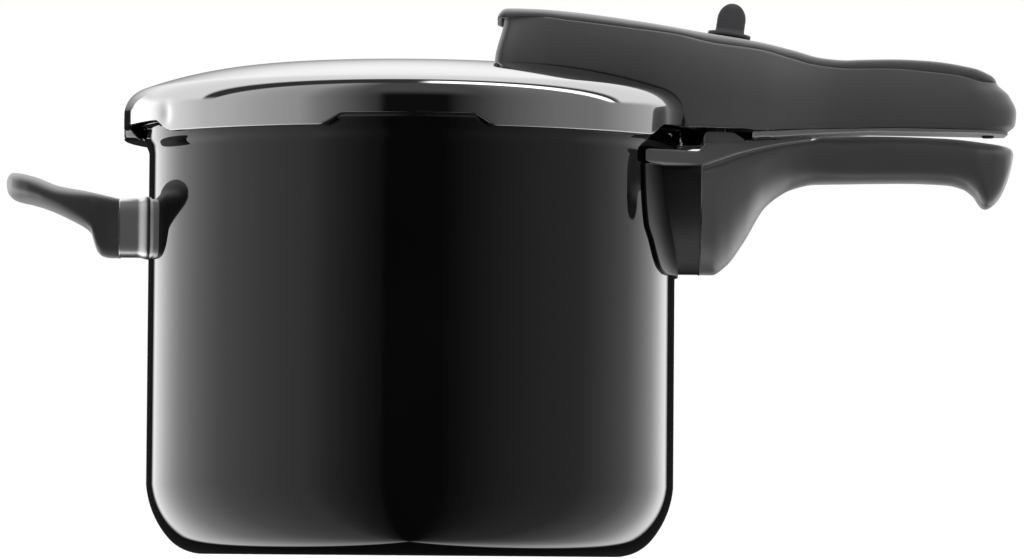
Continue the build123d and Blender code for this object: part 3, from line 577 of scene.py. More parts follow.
@dataclass(frozen=True)
class Enamel(Finish):
    """Glossy fired enamel with a faint orange peel and a few soft wipe marks."""

    dark: Sequence[float] = (0.0012, 0.0012, 0.0014)
    light: Sequence[float] = (0.003, 0.003, 0.0034)
    peel: float = 0.006

    def write(self, graph: Graph) -> None:
        """Writes the nodes of this finish.

        Args:
            graph: The material's node tree.
        """
        cloud = graph.noise(18, 3)
        wipes = graph.noise(9, 4, graph.stretched((1, 1, 6)))
        peel = graph.bump(graph.noise(210, 1), self.peel, 0.5)
        fine = graph.bump(graph.noise(900, 1), self.peel * 0.12, 0.5, peel)
        graph.surface({
            "Base Color": graph.tint(cloud, self.dark, self.light),
            "Roughness": 0.028 + 0.03 * wipes.step(0.45, 0.75),
            "IOR": 1.52,
            "Normal": fine,
        })


@dataclass(frozen=True)
class Steel(Finish):
    """Steel, from mirror polish to satin, with fine lines round an axis or along one."""

    grey: float = 0.7
    rough: float = 0.07
    smear: float = 0.04
    lines: Sequence[float] = (1, 1, 1)
    line_scale: float = 900
    line_depth: float = 0.0004
    circular: bool = False

    def write(self, graph: Graph) -> None:
        """Writes the nodes of this finish.

        Args:
            graph: The material's node tree.
        """
        if self.circular:
            parts = graph.node("ShaderNodeSeparateXYZ", {}, {0: graph.place()})
            tree = parts.socket.node
            x, y = Value(graph, tree.outputs[0]), Value(graph, tree.outputs[1])
            radius = (x * x + y * y) ** 0.5
            along = graph.node("ShaderNodeCombineXYZ", {}, {0: radius * 6.0, 1: x * 0.2, 2: y * 0.2})
            hair = graph.noise(self.line_scale, 3, along)
        else:
            hair = graph.noise(self.line_scale, 3, graph.stretched(self.lines))
        smear = graph.noise(22, 4)
        spots = graph.noise(140, 2).step(0.62, 0.8)
        level = self.grey
        graph.surface({
            "Base Color": graph.tint(
                smear, (level * 0.95,) * 3, (level * 1.04, level * 1.04, level * 1.045)
            ),
            "Metallic": 1.0,
            "Roughness": self.rough + self.smear * smear.step(0.4, 0.8) + 0.02 * spots,
            "Normal": graph.bump(hair, self.line_depth, 0.6),
        })


@dataclass(frozen=True)
class Plastic(Finish):
    """Moulded plastic with a spark-eroded grain, uneven sheen and slight scuffing."""

    dark: Sequence[float] = (0.027, 0.027, 0.028)
    light: Sequence[float] = (0.039, 0.039, 0.040)
    rough: float = 0.5
    grain: float = 0.02
    grain_scale: float = 2100
    sheen: float = 0.06

    def write(self, graph: Graph) -> None:
        """Writes the nodes of this finish.

        Args:
            graph: The material's node tree.
        """
        cloud = graph.noise(35, 4)
        grain = graph.noise(self.grain_scale, 2)
        pits = graph.node(
            "ShaderNodeTexVoronoi", {"feature": "F1"},
            {"Vector": graph.place(), "Scale": self.grain_scale * 0.75},
        )
        scuffs = graph.noise(60, 3, graph.stretched((1, 7, 1), (0.2, 0.1, 0.5))).step(0.63, 0.8)
        height = 0.6 * grain + 0.4 * pits
        graph.surface({
            "Base Color": graph.tint(
                cloud * 0.55 + 0.35 * grain + 0.3 * scuffs, self.dark, self.light
            ),
            "Roughness": self.rough + self.sheen * cloud - 0.08 * scuffs,
            "IOR": 1.48,
            "Sheen Weight": 0.5,
            "Sheen Roughness": 0.4,
            "Normal": graph.bump(height, self.grain, 0.8),
        })


@dataclass(frozen=True)
class Rubber(Finish):
    """Soft silicone or rubber with a dusty bloom."""

    dark: Sequence[float] = (0.2, 0.2, 0.205)
    light: Sequence[float] = (0.27, 0.27, 0.275)

    def write(self, graph: Graph) -> None:
        """Writes the nodes of this finish.

        Args:
            graph: The material's node tree.
        """
        bloom = graph.noise(90, 4)
        graph.surface({
            "Base Color": graph.tint(bloom, self.dark, self.light),
            "Roughness": 0.6 + 0.2 * bloom,
            "Normal": graph.bump(graph.noise(1500, 2), 0.01, 0.5),
        })


@dataclass(frozen=True)
class Print(Finish):
    """Pale printed marks, slightly broken up by the grain they are printed on."""

    ink: Sequence[float] = (0.55, 0.55, 0.54)

    def write(self, graph: Graph) -> None:
        """Writes the nodes of this finish.

        Args:
            graph: The material's node tree.
        """
        wear = graph.noise(3000, 2).step(0.3, 0.6)
        faded = tuple(0.6 * level for level in self.ink)
        graph.surface({"Base Color": graph.tint(wear, faded, self.ink), "Roughness": 0.6 + 0.1 * wear})


ENAMEL = Enamel("black_enamel")
LID_STEEL = Steel("polished_lid_steel", grey=0.40, rough=0.04, circular=True, line_scale=500)
SLEEVE_STEEL = Steel("polished_sleeve_steel", grey=0.85, rough=0.44, lines=(1, 6, 1))
GUARD_STEEL = Steel(
    "dark_satin_steel", grey=0.10, rough=0.42, smear=0.08, lines=(0.15, 1, 8), line_depth=0.0012
)
# The guard's rolled edges are the same sheet as the guard but get a much lighter steel here: a painted
# highlight along the edges.
EDGE_HIGHLIGHT_STEEL = Steel("edge_steel_painted_highlight", grey=0.3, rough=0.34, lines=(1, 1, 4))
FASTENER_STEEL = Steel("plated_fastener_steel", grey=0.55, rough=0.2, lines=(1, 1, 3))
VALVE_STEEL = Steel("turned_valve_steel", grey=0.6, rough=0.16, lines=(1, 1, 9), line_depth=0.001)
BRACKET_STEEL = Steel("rolled_bracket_steel", grey=0.5, rough=0.3, lines=(4, 1, 1), line_depth=0.001)
SPRING_STEEL = Steel("drawn_spring_steel", grey=0.48, rough=0.22, lines=(1, 1, 4))
BRASS = Steel("turned_brass_pin", grey=0.5, rough=0.2, lines=(1, 1, 6))
GRAINED = Plastic("grained_handle_plastic")
SMOOTH = Plastic(
    "smooth_handle_plastic", dark=(0.026, 0.026, 0.027), light=(0.036, 0.036, 0.037), rough=0.36,
    grain=0.006, grain_scale=1700,
)
SIDE_GRIP_PLASTIC = Plastic(
    "satin_side_grip_plastic", dark=(0.028, 0.028, 0.029), light=(0.04, 0.04, 0.041), rough=0.4,
    grain=0.008, grain_scale=1900,
)
BASE_PLASTIC = Plastic("pale_base_plastic", dark=(0.06, 0.06, 0.061), light=(0.085, 0.085, 0.086), rough=0.4)
KNOB_PLASTIC = Plastic(
    "knob_plastic", dark=(0.034, 0.034, 0.035), light=(0.046, 0.046, 0.047), rough=0.42, grain=0.008
)
BUSH_PLASTIC = Plastic("black_bush_plastic", dark=(0.008,) * 3, light=(0.014,) * 3, rough=0.45)
SILICONE = Rubber("grey_silicone")
NUB_RUBBER = Rubber("black_rubber", dark=(0.02,) * 3, light=(0.035,) * 3)
PRINT = Print("pale_print")


# --------------------------------------------------------------------------------------
# Places read from the frame
# --------------------------------------------------------------------------------------
def corner(node: str, high: bool) -> Vector:
    """A CAD node's lowest or highest corner, in millimetres."""
    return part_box(node)[1 if high else 0] / MM


@dataclass(frozen=True)
class Datum:
    """The places that everything else is measured from, in millimetres."""

    wall: float
    rim: float
    lid: float

    @classmethod
    def read(cls) -> "Datum":
        """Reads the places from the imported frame.

        Returns:
            The pot's outer radius, its rim height and the lid's outer radius.
        """
        lid = corner("lid_shell", True).x
        return cls(wall=lid - 10.9, rim=corner("pot_body", True).z, lid=lid)

    def out(self, *knots: Point2) -> Course:
        """A course along X, its knots measured outwards from the wall and upwards from the rim."""
        return Course(*[(self.wall + x, self.rim + z) for x, z in knots])

    def side(self, *knots: Point2) -> Course:
        """A course of half-widths along X, its knots measured outwards from the wall."""
        return Course(*[(self.wall + x, y) for x, y in knots])


def dress(piece: bpy.types.Object, finish: Finish, body: str, slot: str, *nodes: str) -> bpy.types.Object:
    """Gives a new piece its finish and its body, and hides the nodes it stands for.

    Args:
        piece: The piece.
        finish: Its surface finish.
        body: The CAD body that it moves with.
        slot: A material slot's name; not used.
        *nodes: CAD nodes that the piece replaces.

    Returns:
        The piece.
    """
    piece.data.materials.clear()
    piece.data.materials.append(finish.material())
    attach(piece, body)
    if nodes:
        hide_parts(*nodes)
    log.info("%s: %d faces, rides on %s", piece.name, len(piece.data.polygons), body)
    return piece


def edge_roll(
    name: str, path: Callable[[float], Sequence[float]], radius: float, level: Vector
) -> bpy.types.Object:
    """Makes a thin round edge along a path.

    Args:
        name: Name of the piece.
        path: Point in millimetres for a share of the length.
        radius: Radius of the edge in millimetres.
        level: A direction that the path never runs along.

    Returns:
        The closed edge.
    """

    def place(along: float, around: float) -> Sequence[float]:
        """Point on the edge.

        Args:
            along: Share of the way along it.
            around: Share of the way round its section.

        Returns:
            The point in millimetres.
        """
        ahead, behind = Vector(path(min(1.0, along + 0.01))), Vector(path(max(0.0, along - 0.01)))
        side = (ahead - behind).cross(level).normalized()
        up = side.cross(ahead - behind).normalized()
        turn = math.tau * around
        return tuple(Vector(path(along)) + radius * (side * math.cos(turn) + up * math.sin(turn)))

    return shaped_grid(name, 72, 12, place)


def bore(
    piece: bpy.types.Object, middle: Point2, radius: float, height: Callable[[float, float], float]
) -> None:
    """Opens a round hole in a sheet that lies roughly flat.

    Args:
        piece: The sheet, before it gets its thickness.
        middle: Place of the hole in millimetres.
        radius: Radius of the hole in millimetres.
        height: Height of the sheet over a place, in millimetres.
    """
    bm = bmesh.new()
    bm.from_mesh(piece.data)

    def away(vert: bmesh.types.BMVert) -> float:
        """Distance of a vertex from the hole's axis in millimetres."""
        return math.hypot(vert.co.x / MM - middle[0], vert.co.y / MM - middle[1])

    bmesh.ops.delete(bm, geom=[v for v in bm.verts if away(v) < radius], context="VERTS")
    for vert in [v for v in bm.verts if v.is_boundary and away(v) < radius + 4]:
        share = radius / away(vert)
        x = middle[0] + (vert.co.x / MM - middle[0]) * share
        y = middle[1] + (vert.co.y / MM - middle[1]) * share
        vert.co = Vector((x, y, height(x, y))) * MM
    bm.to_mesh(piece.data)
    bm.free()


# --------------------------------------------------------------------------------------
# Pot
# --------------------------------------------------------------------------------------
@dataclass
class Pot:
    """The enamelled pot with its bayonet lugs."""

    datum: Datum
    wall: float = 2.5
    base_inset: float = 24.5
    base: float = 6.0
    heel_r: float = 20.0
    heel_turn: float = 50.0
    heel_high_turn: float = 35.0
    heel_inside_r: float = 24.0
    flare: float = 1.8
    flare_height: float = 6.0
    flare_drop: float = 13.5
    flange_reach: float = 2.5
    flange: float = 2.5
    flange_r: float = 2.0
    lug_reach: float = 3.5
    lug_depth: float = 5.3
    lug_angle: float = 22.0
    lugs: int = 5
    lug_cuts: int = 15
    steps: int = 288

    def outline(self) -> list[Point2]:
        """The pot's section, from the middle of its base over the rim and back inside.

        Returns:
            Radius and height pairs.
        """
        outer, rim = self.datum.wall, self.datum.rim
        inner, flared = outer - self.wall, outer + self.flare
        flare_low = rim - self.flare_drop
        low = math.radians(90 - self.heel_turn)
        top = math.radians(90 - self.heel_turn - self.heel_high_turn)
        high_r = (self.base_inset - self.heel_r * math.cos(low)) / (math.cos(top) - math.cos(low))
        walk = Walk((0, 0), 0).to((outer - self.base_inset, 0))
        walk.turn(self.heel_r, self.heel_turn, 10).turn(high_r, self.heel_high_turn, 10)
        wall_low, inside_low = walk.points[-1][1], self.base + self.heel_inside_r
        walk.to((outer, wall_low + 1.5), (outer, mix(wall_low, flare_low, 0.5)), (outer, flare_low - 1.5))
        bend = [(ease(0, 1, i / 8) * self.flare, flare_low + self.flare_height * i / 8) for i in range(9)]
        walk.to(*[(outer + r, z) for r, z in bend])
        walk.to((flared, rim - self.flange - self.flange_r)).turn(self.flange_r, -90, 6)
        walk.to((flared + self.flange_reach, rim - self.flange), (flared + self.flange_reach, rim))
        walk.to((inner + self.flare, rim), (inner + self.flare, flare_low + self.flare_height + 1))
        walk.to(*[(inner + r, z) for r, z in reversed(bend)])
        walk.to((inner, flare_low - 1.5), (inner, inside_low + 1.5), (inner, inside_low))
        walk.heading = -90
        walk.turn(self.heel_inside_r, -90, 10).to((0, self.base))
        return walk.points

    def lug_ring(self) -> bpy.types.Object:
        """Makes the lugs, each a short ring section with rounded ends.

        Returns:
            One piece with every lug.
        """
        low, high = self.datum.rim - self.lug_depth, self.datum.rim
        inner = self.datum.wall + self.flare + self.flange_reach - 0.5
        outer = self.datum.wall + self.flare + self.flange_reach + self.lug_reach
        bm = bmesh.new()
        for index in range(self.lugs):
            middle = math.radians(-90 + (index + 0.5) * 360 / self.lugs)
            bmesh.ops.create_cube(bm, size=1)
            cube = [v for v in bm.verts if not v.tag]
            edges = {edge for vert in cube for edge in vert.link_edges}
            long_edges = [e for e in edges if abs(e.verts[0].co.y - e.verts[1].co.y) > 0.5]
            bmesh.ops.subdivide_edges(bm, edges=long_edges, cuts=self.lug_cuts, use_grid_fill=True)
            cube = [v for v in bm.verts if not v.tag]
            for vert in cube:
                vert.tag = True
                angle = middle + vert.co.y * math.radians(self.lug_angle)
                radius = mix(inner, outer, vert.co.x + 0.5)
                height = mix(low, high, vert.co.z + 0.5)
                vert.co = Vector((radius * math.cos(angle), radius * math.sin(angle), height)) * MM
        return finish_mesh(bm, "pot_lugs", Facing.CLOSED, Vector())

    def build(self) -> None:
        """Builds and dresses the pot."""
        body = turned("pot_wall", self.outline(), self.steps)
        soften(body, 0.45)
        dress(body, ENAMEL, "pot", "enamel_pot", "pot_body")
        lugs = self.lug_ring()
        soften(lugs, 0.6, segments=4)
        dress(lugs, ENAMEL, "pot", "enamel_pot")


# --------------------------------------------------------------------------------------
# Lid
# --------------------------------------------------------------------------------------
@dataclass
class Lid:
    """The pressed lid: crown, knee, shoulder, skirt and a bayonet lip with five notches."""

    datum: Datum
    wall: float = 1.5
    crown_r: float = 900.0
    knee_r: float = 178.0
    knee_end: float = 20.0
    shoulder_r: float = 10.9
    skirt_top: float = 3.3
    lip_drop: float = 7.3
    lip_reach: float = 7.9
    edge_r: float = 0.7
    notch_drop: float = 2.3
    notch_top: float = 27.5
    notch_bottom: float = 36.5
    notch_lip: float = 0.28
    notches: int = 5
    dimple_angle: float = 214.0
    dimple_drop: float = 0.0
    dimple_depth: float = 0.99
    dimple_width: float = 3.6
    dimple_height: float = 4.2
    steps: int = 540

    def crown_end(self) -> float:
        """Slope where the crown hands over to the knee.

        Returns:
            The slope in degrees.
        """
        sine = math.sin(math.radians(self.knee_end))
        reach = self.datum.lid - self.knee_r * sine - self.shoulder_r * (1 - sine)
        return math.degrees(math.asin(reach / (self.crown_r - self.knee_r)))

    def top(self) -> float:
        """Height of the lid's middle.

        Returns:
            The height in millimetres.
        """
        end, knee = math.radians(self.crown_end()), math.radians(self.knee_end)
        fall = self.crown_r * (1 - math.cos(end)) + self.knee_r * (math.cos(end) - math.cos(knee))
        return self.datum.rim + self.skirt_top + fall + self.shoulder_r * math.cos(knee)

    def height(self, x: float, y: float) -> float:
        """Height of the lid's outside over a point, and of the shoulder's foot beyond it.

        Args:
            x: Place along the handles.
            y: Place across them.

        Returns:
            The height in millimetres.
        """
        radius, end = math.hypot(x, y), math.radians(self.crown_end())
        if radius < self.crown_r * math.sin(end):
            return self.top() - self.crown_r * (1 - math.cos(math.asin(radius / self.crown_r)))
        middle_z = self.top() - self.crown_r + (self.crown_r - self.knee_r) * math.cos(end)
        sine = (radius - (self.crown_r - self.knee_r) * math.sin(end)) / self.knee_r
        if sine < math.sin(math.radians(self.knee_end)):
            return middle_z + self.knee_r * math.sqrt(1 - sine * sine)
        across = min(1.0, (radius - self.datum.lid + self.shoulder_r) / self.shoulder_r)
        return self.datum.rim + self.skirt_top + self.shoulder_r * math.sqrt(max(0.0, 1 - across * across))

    def outline(self) -> list[Point2]:
        """The lid's outer section, from its middle to the end of the lip.

        Returns:
            Radius and height pairs.
        """
        rim, end = self.datum.rim, self.crown_end()
        walk = Walk((0, self.top()), 0).turn(self.crown_r, -end, 14)
        walk.turn(self.knee_r, end - self.knee_end, 18).turn(self.shoulder_r, self.knee_end - 90, 18)
        low = rim - self.lip_drop
        for share in (0.12, 0.24, 0.36, 0.48, 0.6, 0.72, 0.84, 0.92, 1.0):
            walk.to((self.datum.lid, mix(rim + self.skirt_top, low + self.edge_r, share)))
        walk.turn(self.edge_r, -90, 6)
        inner = self.datum.lid - self.lip_reach
        start = walk.points[-1][0]
        for share in (0.2, 0.4, 0.6, 0.8, 1.0):
            walk.to((mix(start, inner, share), low))
        return walk.points

    def reshape(self, co: Vector) -> None:
        """Lifts and pulls out the lip at the notches and presses the mark into the skirt.

        Args:
            co: A vertex's place in millimetres, changed in place.
        """
        skirt = self.datum.rim + self.skirt_top
        if co.z > skirt + self.shoulder_r:
            return
        radius, angle = math.hypot(co.x, co.y), math.atan2(co.y, co.x)
        pitch = math.tau / self.notches
        away = (angle + math.pi / 2 + pitch / 2) % pitch - pitch / 2
        arc = abs(away) * self.datum.lid
        share = 1 - ease(self.notch_top - 2, self.notch_bottom + 1, arc)
        low, edge = self.datum.rim - self.lip_drop, self.datum.rim - self.notch_drop
        if share > 0 and co.z < skirt:
            lifted = skirt - (skirt - co.z) * (skirt - edge) / (skirt - low)
            co.z = mix(co.z, lifted, share)
            rolled = self.datum.lid - (self.datum.lid - radius) * self.notch_lip
            radius = mix(radius, rolled, share)
        turn = (math.degrees(angle) % 360) - self.dimple_angle
        across = turn * math.radians(1) * self.datum.lid
        down = co.z - (self.datum.rim + self.dimple_drop)
        press = math.exp(-(across / self.dimple_width) ** 2 - (down / self.dimple_height) ** 2)
        if radius > self.datum.lid - 3:
            radius -= self.dimple_depth * press
        co.x, co.y = radius * math.cos(angle), radius * math.sin(angle)

    def build(self) -> None:
        """Builds and dresses the lid."""
        shell = turned(
            "lid_dome", self.outline(), self.steps, reshape=self.reshape,
            inside=(0, 0, self.datum.rim - 20),
        )
        thicken(shell, self.wall)
        dress(shell, LID_STEEL, "lid", "polished_lid", "lid_shell")


# --------------------------------------------------------------------------------------
# Lid handle
# --------------------------------------------------------------------------------------
@dataclass
class LidHandle:
    """The upper long handle: walls, crowned cover and printed marks."""

    datum: Datum
    lid: Lid
    wall: float = 2.6
    cover: float = 2.0
    cap_play: float = 0.5
    front_r: float = 3.0
    shoulder_inset: float = 7.0
    shoulder_drop: float = 23.0
    foot_inset: float = 1.0
    front_lean: float = 4.0
    front_toe: float = 1.0
    front_reach: float = 24.0
    nose_reach: float = 30.0
    mark_out: float = 35.0
    mark_width: float = 1.1
    end_reach: float = 146.0
    end_slope: float = 8.5

    def __post_init__(self) -> None:
        """Draws the outlines from above and from the side."""
        out, side = self.datum.out, self.datum.side
        self.front = self.datum.wall - 76.5
        self.end = self.datum.wall + self.end_reach
        self.half = side(
            (-73.5, 34.0), (-68.5, 37.6), (-60.5, 41.8), (-52.5, 45.0), (-44.5, 47.3), (-36.5, 48.8),
            (-26.5, 49.4), (-12.5, 48.6), (3.5, 45.4), (19.5, 40.3), (35.5, 33.0), (51.5, 24.7), (67.5, 19.2),
            (83.5, 17.2), (97.5, 16.7), (128.0, 17.0),
        )
        self.ridge = out(
            (-76.5, 45.7), (-60.5, 44.9), (-45.5, 42.8), (-22.5, 39.9), (-0.5, 37.3), (15.0, 34.2),
            (35.5, 32.1), (48.0, 29.2), (58.5, 26.8), (73.5, 25.5), (90.5, 25.8), (107.5, 24.5),
            (120.5, 23.1), (137.5, 20.3),
        )
        self.crest = out(
            (-76.0, 49.1), (-73.1, 49.8), (-59.9, 49.2), (-46.5, 48.0), (-19.0, 44.4), (8.3, 40.2),
            (35.5, 36.3), (49.2, 33.5), (62.5, 30.3), (72.5, 29.6), (79.5, 29.9), (93.5, 30.2),
            (107.1, 29.7), (127.5, 26.6), (137.5, 22.4),
        )
        self.foot = out((32.0, -2.9), (56.5, -1.2), (73.5, -0.5), (94.5, 0.1), (128.5, -0.5), (141.5, -1.2))
        self.outline = self._outline()

    def _outline(self) -> list[Point2]:
        """Half of the outline from above, from the middle of the front to the middle of the end.

        Returns:
            Places along and across the handle.
        """
        corner_half = self.half(self.front + self.front_r) - 8.0
        points = [(self.front, y) for y in (0, 6, 12, 18, 22, corner_half)]
        for step in range(1, 9):
            angle = math.radians(90 * step / 8)
            points.append((
                self.front + self.front_r * (1 - math.cos(angle)),
                corner_half + 8.0 * math.sin(angle),
            ))
        start, stop = self.front + self.front_r, self.end - 18.0
        points += [(x, self.half(x)) for x in (mix(start, stop, i / 110) for i in range(1, 111))]
        last = self.half(stop)
        for step in range(1, 21):
            angle = math.radians(90 * step / 20)
            across, along = rounded(angle, 2.4)
            points.append((stop + 18.0 * along, last * across))
        return points

    def rim_point(self, share: float) -> Point2:
        """Point on the whole outline from above.

        Args:
            share: 0 and 1 are the middle of the front, 0.5 the middle of the end.

        Returns:
            Place along and across the handle.
        """
        count = len(self.outline) - 1
        place = (2 * share if share <= 0.5 else 2 - 2 * share) * count
        index = min(int(place), count - 1)
        (x0, y0), (x1, y1) = self.outline[index], self.outline[index + 1]
        x, y = mix(x0, x1, place - index), mix(y0, y1, place - index)
        return (x, y if share <= 0.5 else -y)

    def bottom(self, x: float, y: float) -> float:
        """Height of the wall's lower edge: on the lid, then down the skirt, then under the grip.

        Args:
            x: Place along the handle.
            y: Place across it.

        Returns:
            The height in millimetres.
        """
        radius = math.hypot(x, y)
        on_lid = self.lid.height(x, y) + 0.12
        stop = self.datum.rim - 6.0
        side = ease(30.0, 33.5, y)
        beyond = self.foot(x) + 0.2
        step = 1 - ease(29.5, 33.0, x - self.datum.wall)
        beyond = mix(beyond, mix(self.datum.rim - 2.0, stop, side), step)
        return mix(on_lid, beyond, ease(self.datum.lid + 0.05, self.datum.lid + 0.7, radius))

    def nose(self, x: float, z: float) -> float:
        """Pulls the end in towards its top and its foot.

        Args:
            x: Place along the straight outline.
            z: Height.

        Returns:
            The new place along the handle.
        """
        rim = self.datum.rim
        slope = Course(
            (rim - 1.2, 4.5), (rim + 2.5, 0.6), (rim + 7.5, 0.1), (rim + 15.0, 3.2),
            (rim + 20.3, self.end_slope), (rim + 24.0, self.end_slope + 1.0),
        )
        lean = self.front_lean * ease(rim + 26, rim + 46, z) - self.front_toe
        near = 1 - ease(self.front, self.front + self.front_reach, x)
        return x + lean * near - slope(z) * ease(self.end - self.nose_reach, self.end, x)

    def wall_place(self, around: float, down: float) -> Sequence[float]:
        """Point on the outside of the walls.

        Args:
            around: Share of the way round the outline.
            down: 0 at the shoulder line, 1 at the foot.

        Returns:
            The point in millimetres.
        """
        x, y = self.rim_point(around)
        high, low = self.ridge(x), self.bottom(x, y)
        z = mix(high, low, down)
        inset = self.shoulder_inset * max(0.0, 1 - (high - z) / self.shoulder_drop) ** 2
        free = ease(self.datum.wall + 22, self.datum.wall + 50, x)
        inset += self.foot_inset * free * max(0.0, 1 - (z - low) / 3.0) ** 2
        scale = 1 - inset / max(self.half(x), 1.0)
        return (self.nose(x, z), y * scale, z)

    def cover_height(self, x: float, share: float) -> float:
        """Height of the cover's top.

        Args:
            x: Place along the handle.
            share: 0 on the middle line, 1 or -1 at the edge.

        Returns:
            The height in millimetres.
        """
        low = self.ridge(x) - 0.15
        rise = self.crest(x) - low
        near = min(1.0, max(0.0, (x - self.front) / 4.0))
        far = min(1.0, max(0.0, (self.end - self.end_slope - x) / 3.0))
        ends = math.sqrt(max(0.0, 1 - (1 - near) ** 2)) * math.sqrt(max(0.0, 1 - (1 - far) ** 2))
        return low + rise * ends * max(0.0, 1 - abs(share) ** 5) ** 0.55

    def cover_place(self, along: float, across: float) -> Sequence[float]:
        """Point on the top of the cover.

        Args:
            along: Share of the way from front to end.
            across: Share of the way from one side to the other.

        Returns:
            The point in millimetres.
        """
        bend = 0.5 - 0.5 * math.cos(math.pi * along)
        x = mix(self.front, self.end, mix(along, bend, 0.55))
        side = 2 * across - 1
        side = math.sin(side * math.pi / 2) * 0.45 + side * 0.55
        index = next((i for i in range(5, len(self.outline) - 1) if self.outline[i + 1][0] >= x), -2)
        (x0, y0), (x1, y1) = self.outline[index], self.outline[index + 1]
        half = mix(y0, y1, (x - x0) / max(x1 - x0, 1e-6)) if x < self.end else 0.0
        edge = half * (1 - self.shoulder_inset / max(self.half(x), 1.0))
        placed = x - (x - self.nose(x, self.ridge(x))) * ease(self.datum.wall, self.datum.wall + 60, x)
        return (placed, side * edge, self.cover_height(placed, side))

    def marks(self) -> bpy.types.Object:
        """Prints a long bar between two short ones beside the selector.

        Returns:
            The printed marks as thin raised films.
        """
        bm = bmesh.new()
        start = self.datum.wall + self.mark_out
        for place, length in ((0.0, 1.6), (3.0, 3.0), (7.0, 1.6)):
            made = bmesh.ops.create_grid(bm, x_segments=6, y_segments=6, size=0.5)
            for vert in made["verts"]:
                x = start + place + (vert.co.x + 0.5) * self.mark_width
                y = vert.co.y * length * 2
                z = self.cover_height(x, y / self.half(x)) + 0.05
                vert.co = Vector((x, y, z)) * MM
        return finish_mesh(bm, "cover_marks", Facing.AWAY, Vector((start, 0, self.datum.rim)) * MM)

    def build(self) -> None:
        """Builds and dresses the handle."""
        rim = self.datum.rim
        walls = shaped_grid(
            "lid_handle_walls", 420, 30, self.wall_place, inside=(self.datum.wall + 20, 0, rim + 15)
        )
        thicken(walls, self.wall)
        dress(walls, GRAINED, "lid", "grained_plastic", "lid_handle_body")
        cover = shaped_grid(
            "lid_handle_top", 200, 56, self.cover_place, inside=(self.datum.wall, 0, rim + 10)
        )
        low, high = corner("indicator_cap", False), corner("indicator_cap", True)
        middle, radius = ((low.x + high.x) / 2, (low.y + high.y) / 2), (high.y - low.y) / 2 + self.cap_play
        bore(
            cover, middle, radius,
            lambda x, y: self.cover_height(x, y / (self.half(x) - self.shoulder_inset)),
        )
        dress(cover, GRAINED, "lid", "grained_plastic", "lid_handle_cover")
        thicken(cover, self.cover)
        marks = self.marks()
        thicken(marks, 0.04)
        dress(marks, PRINT, "lid", "grained_plastic")


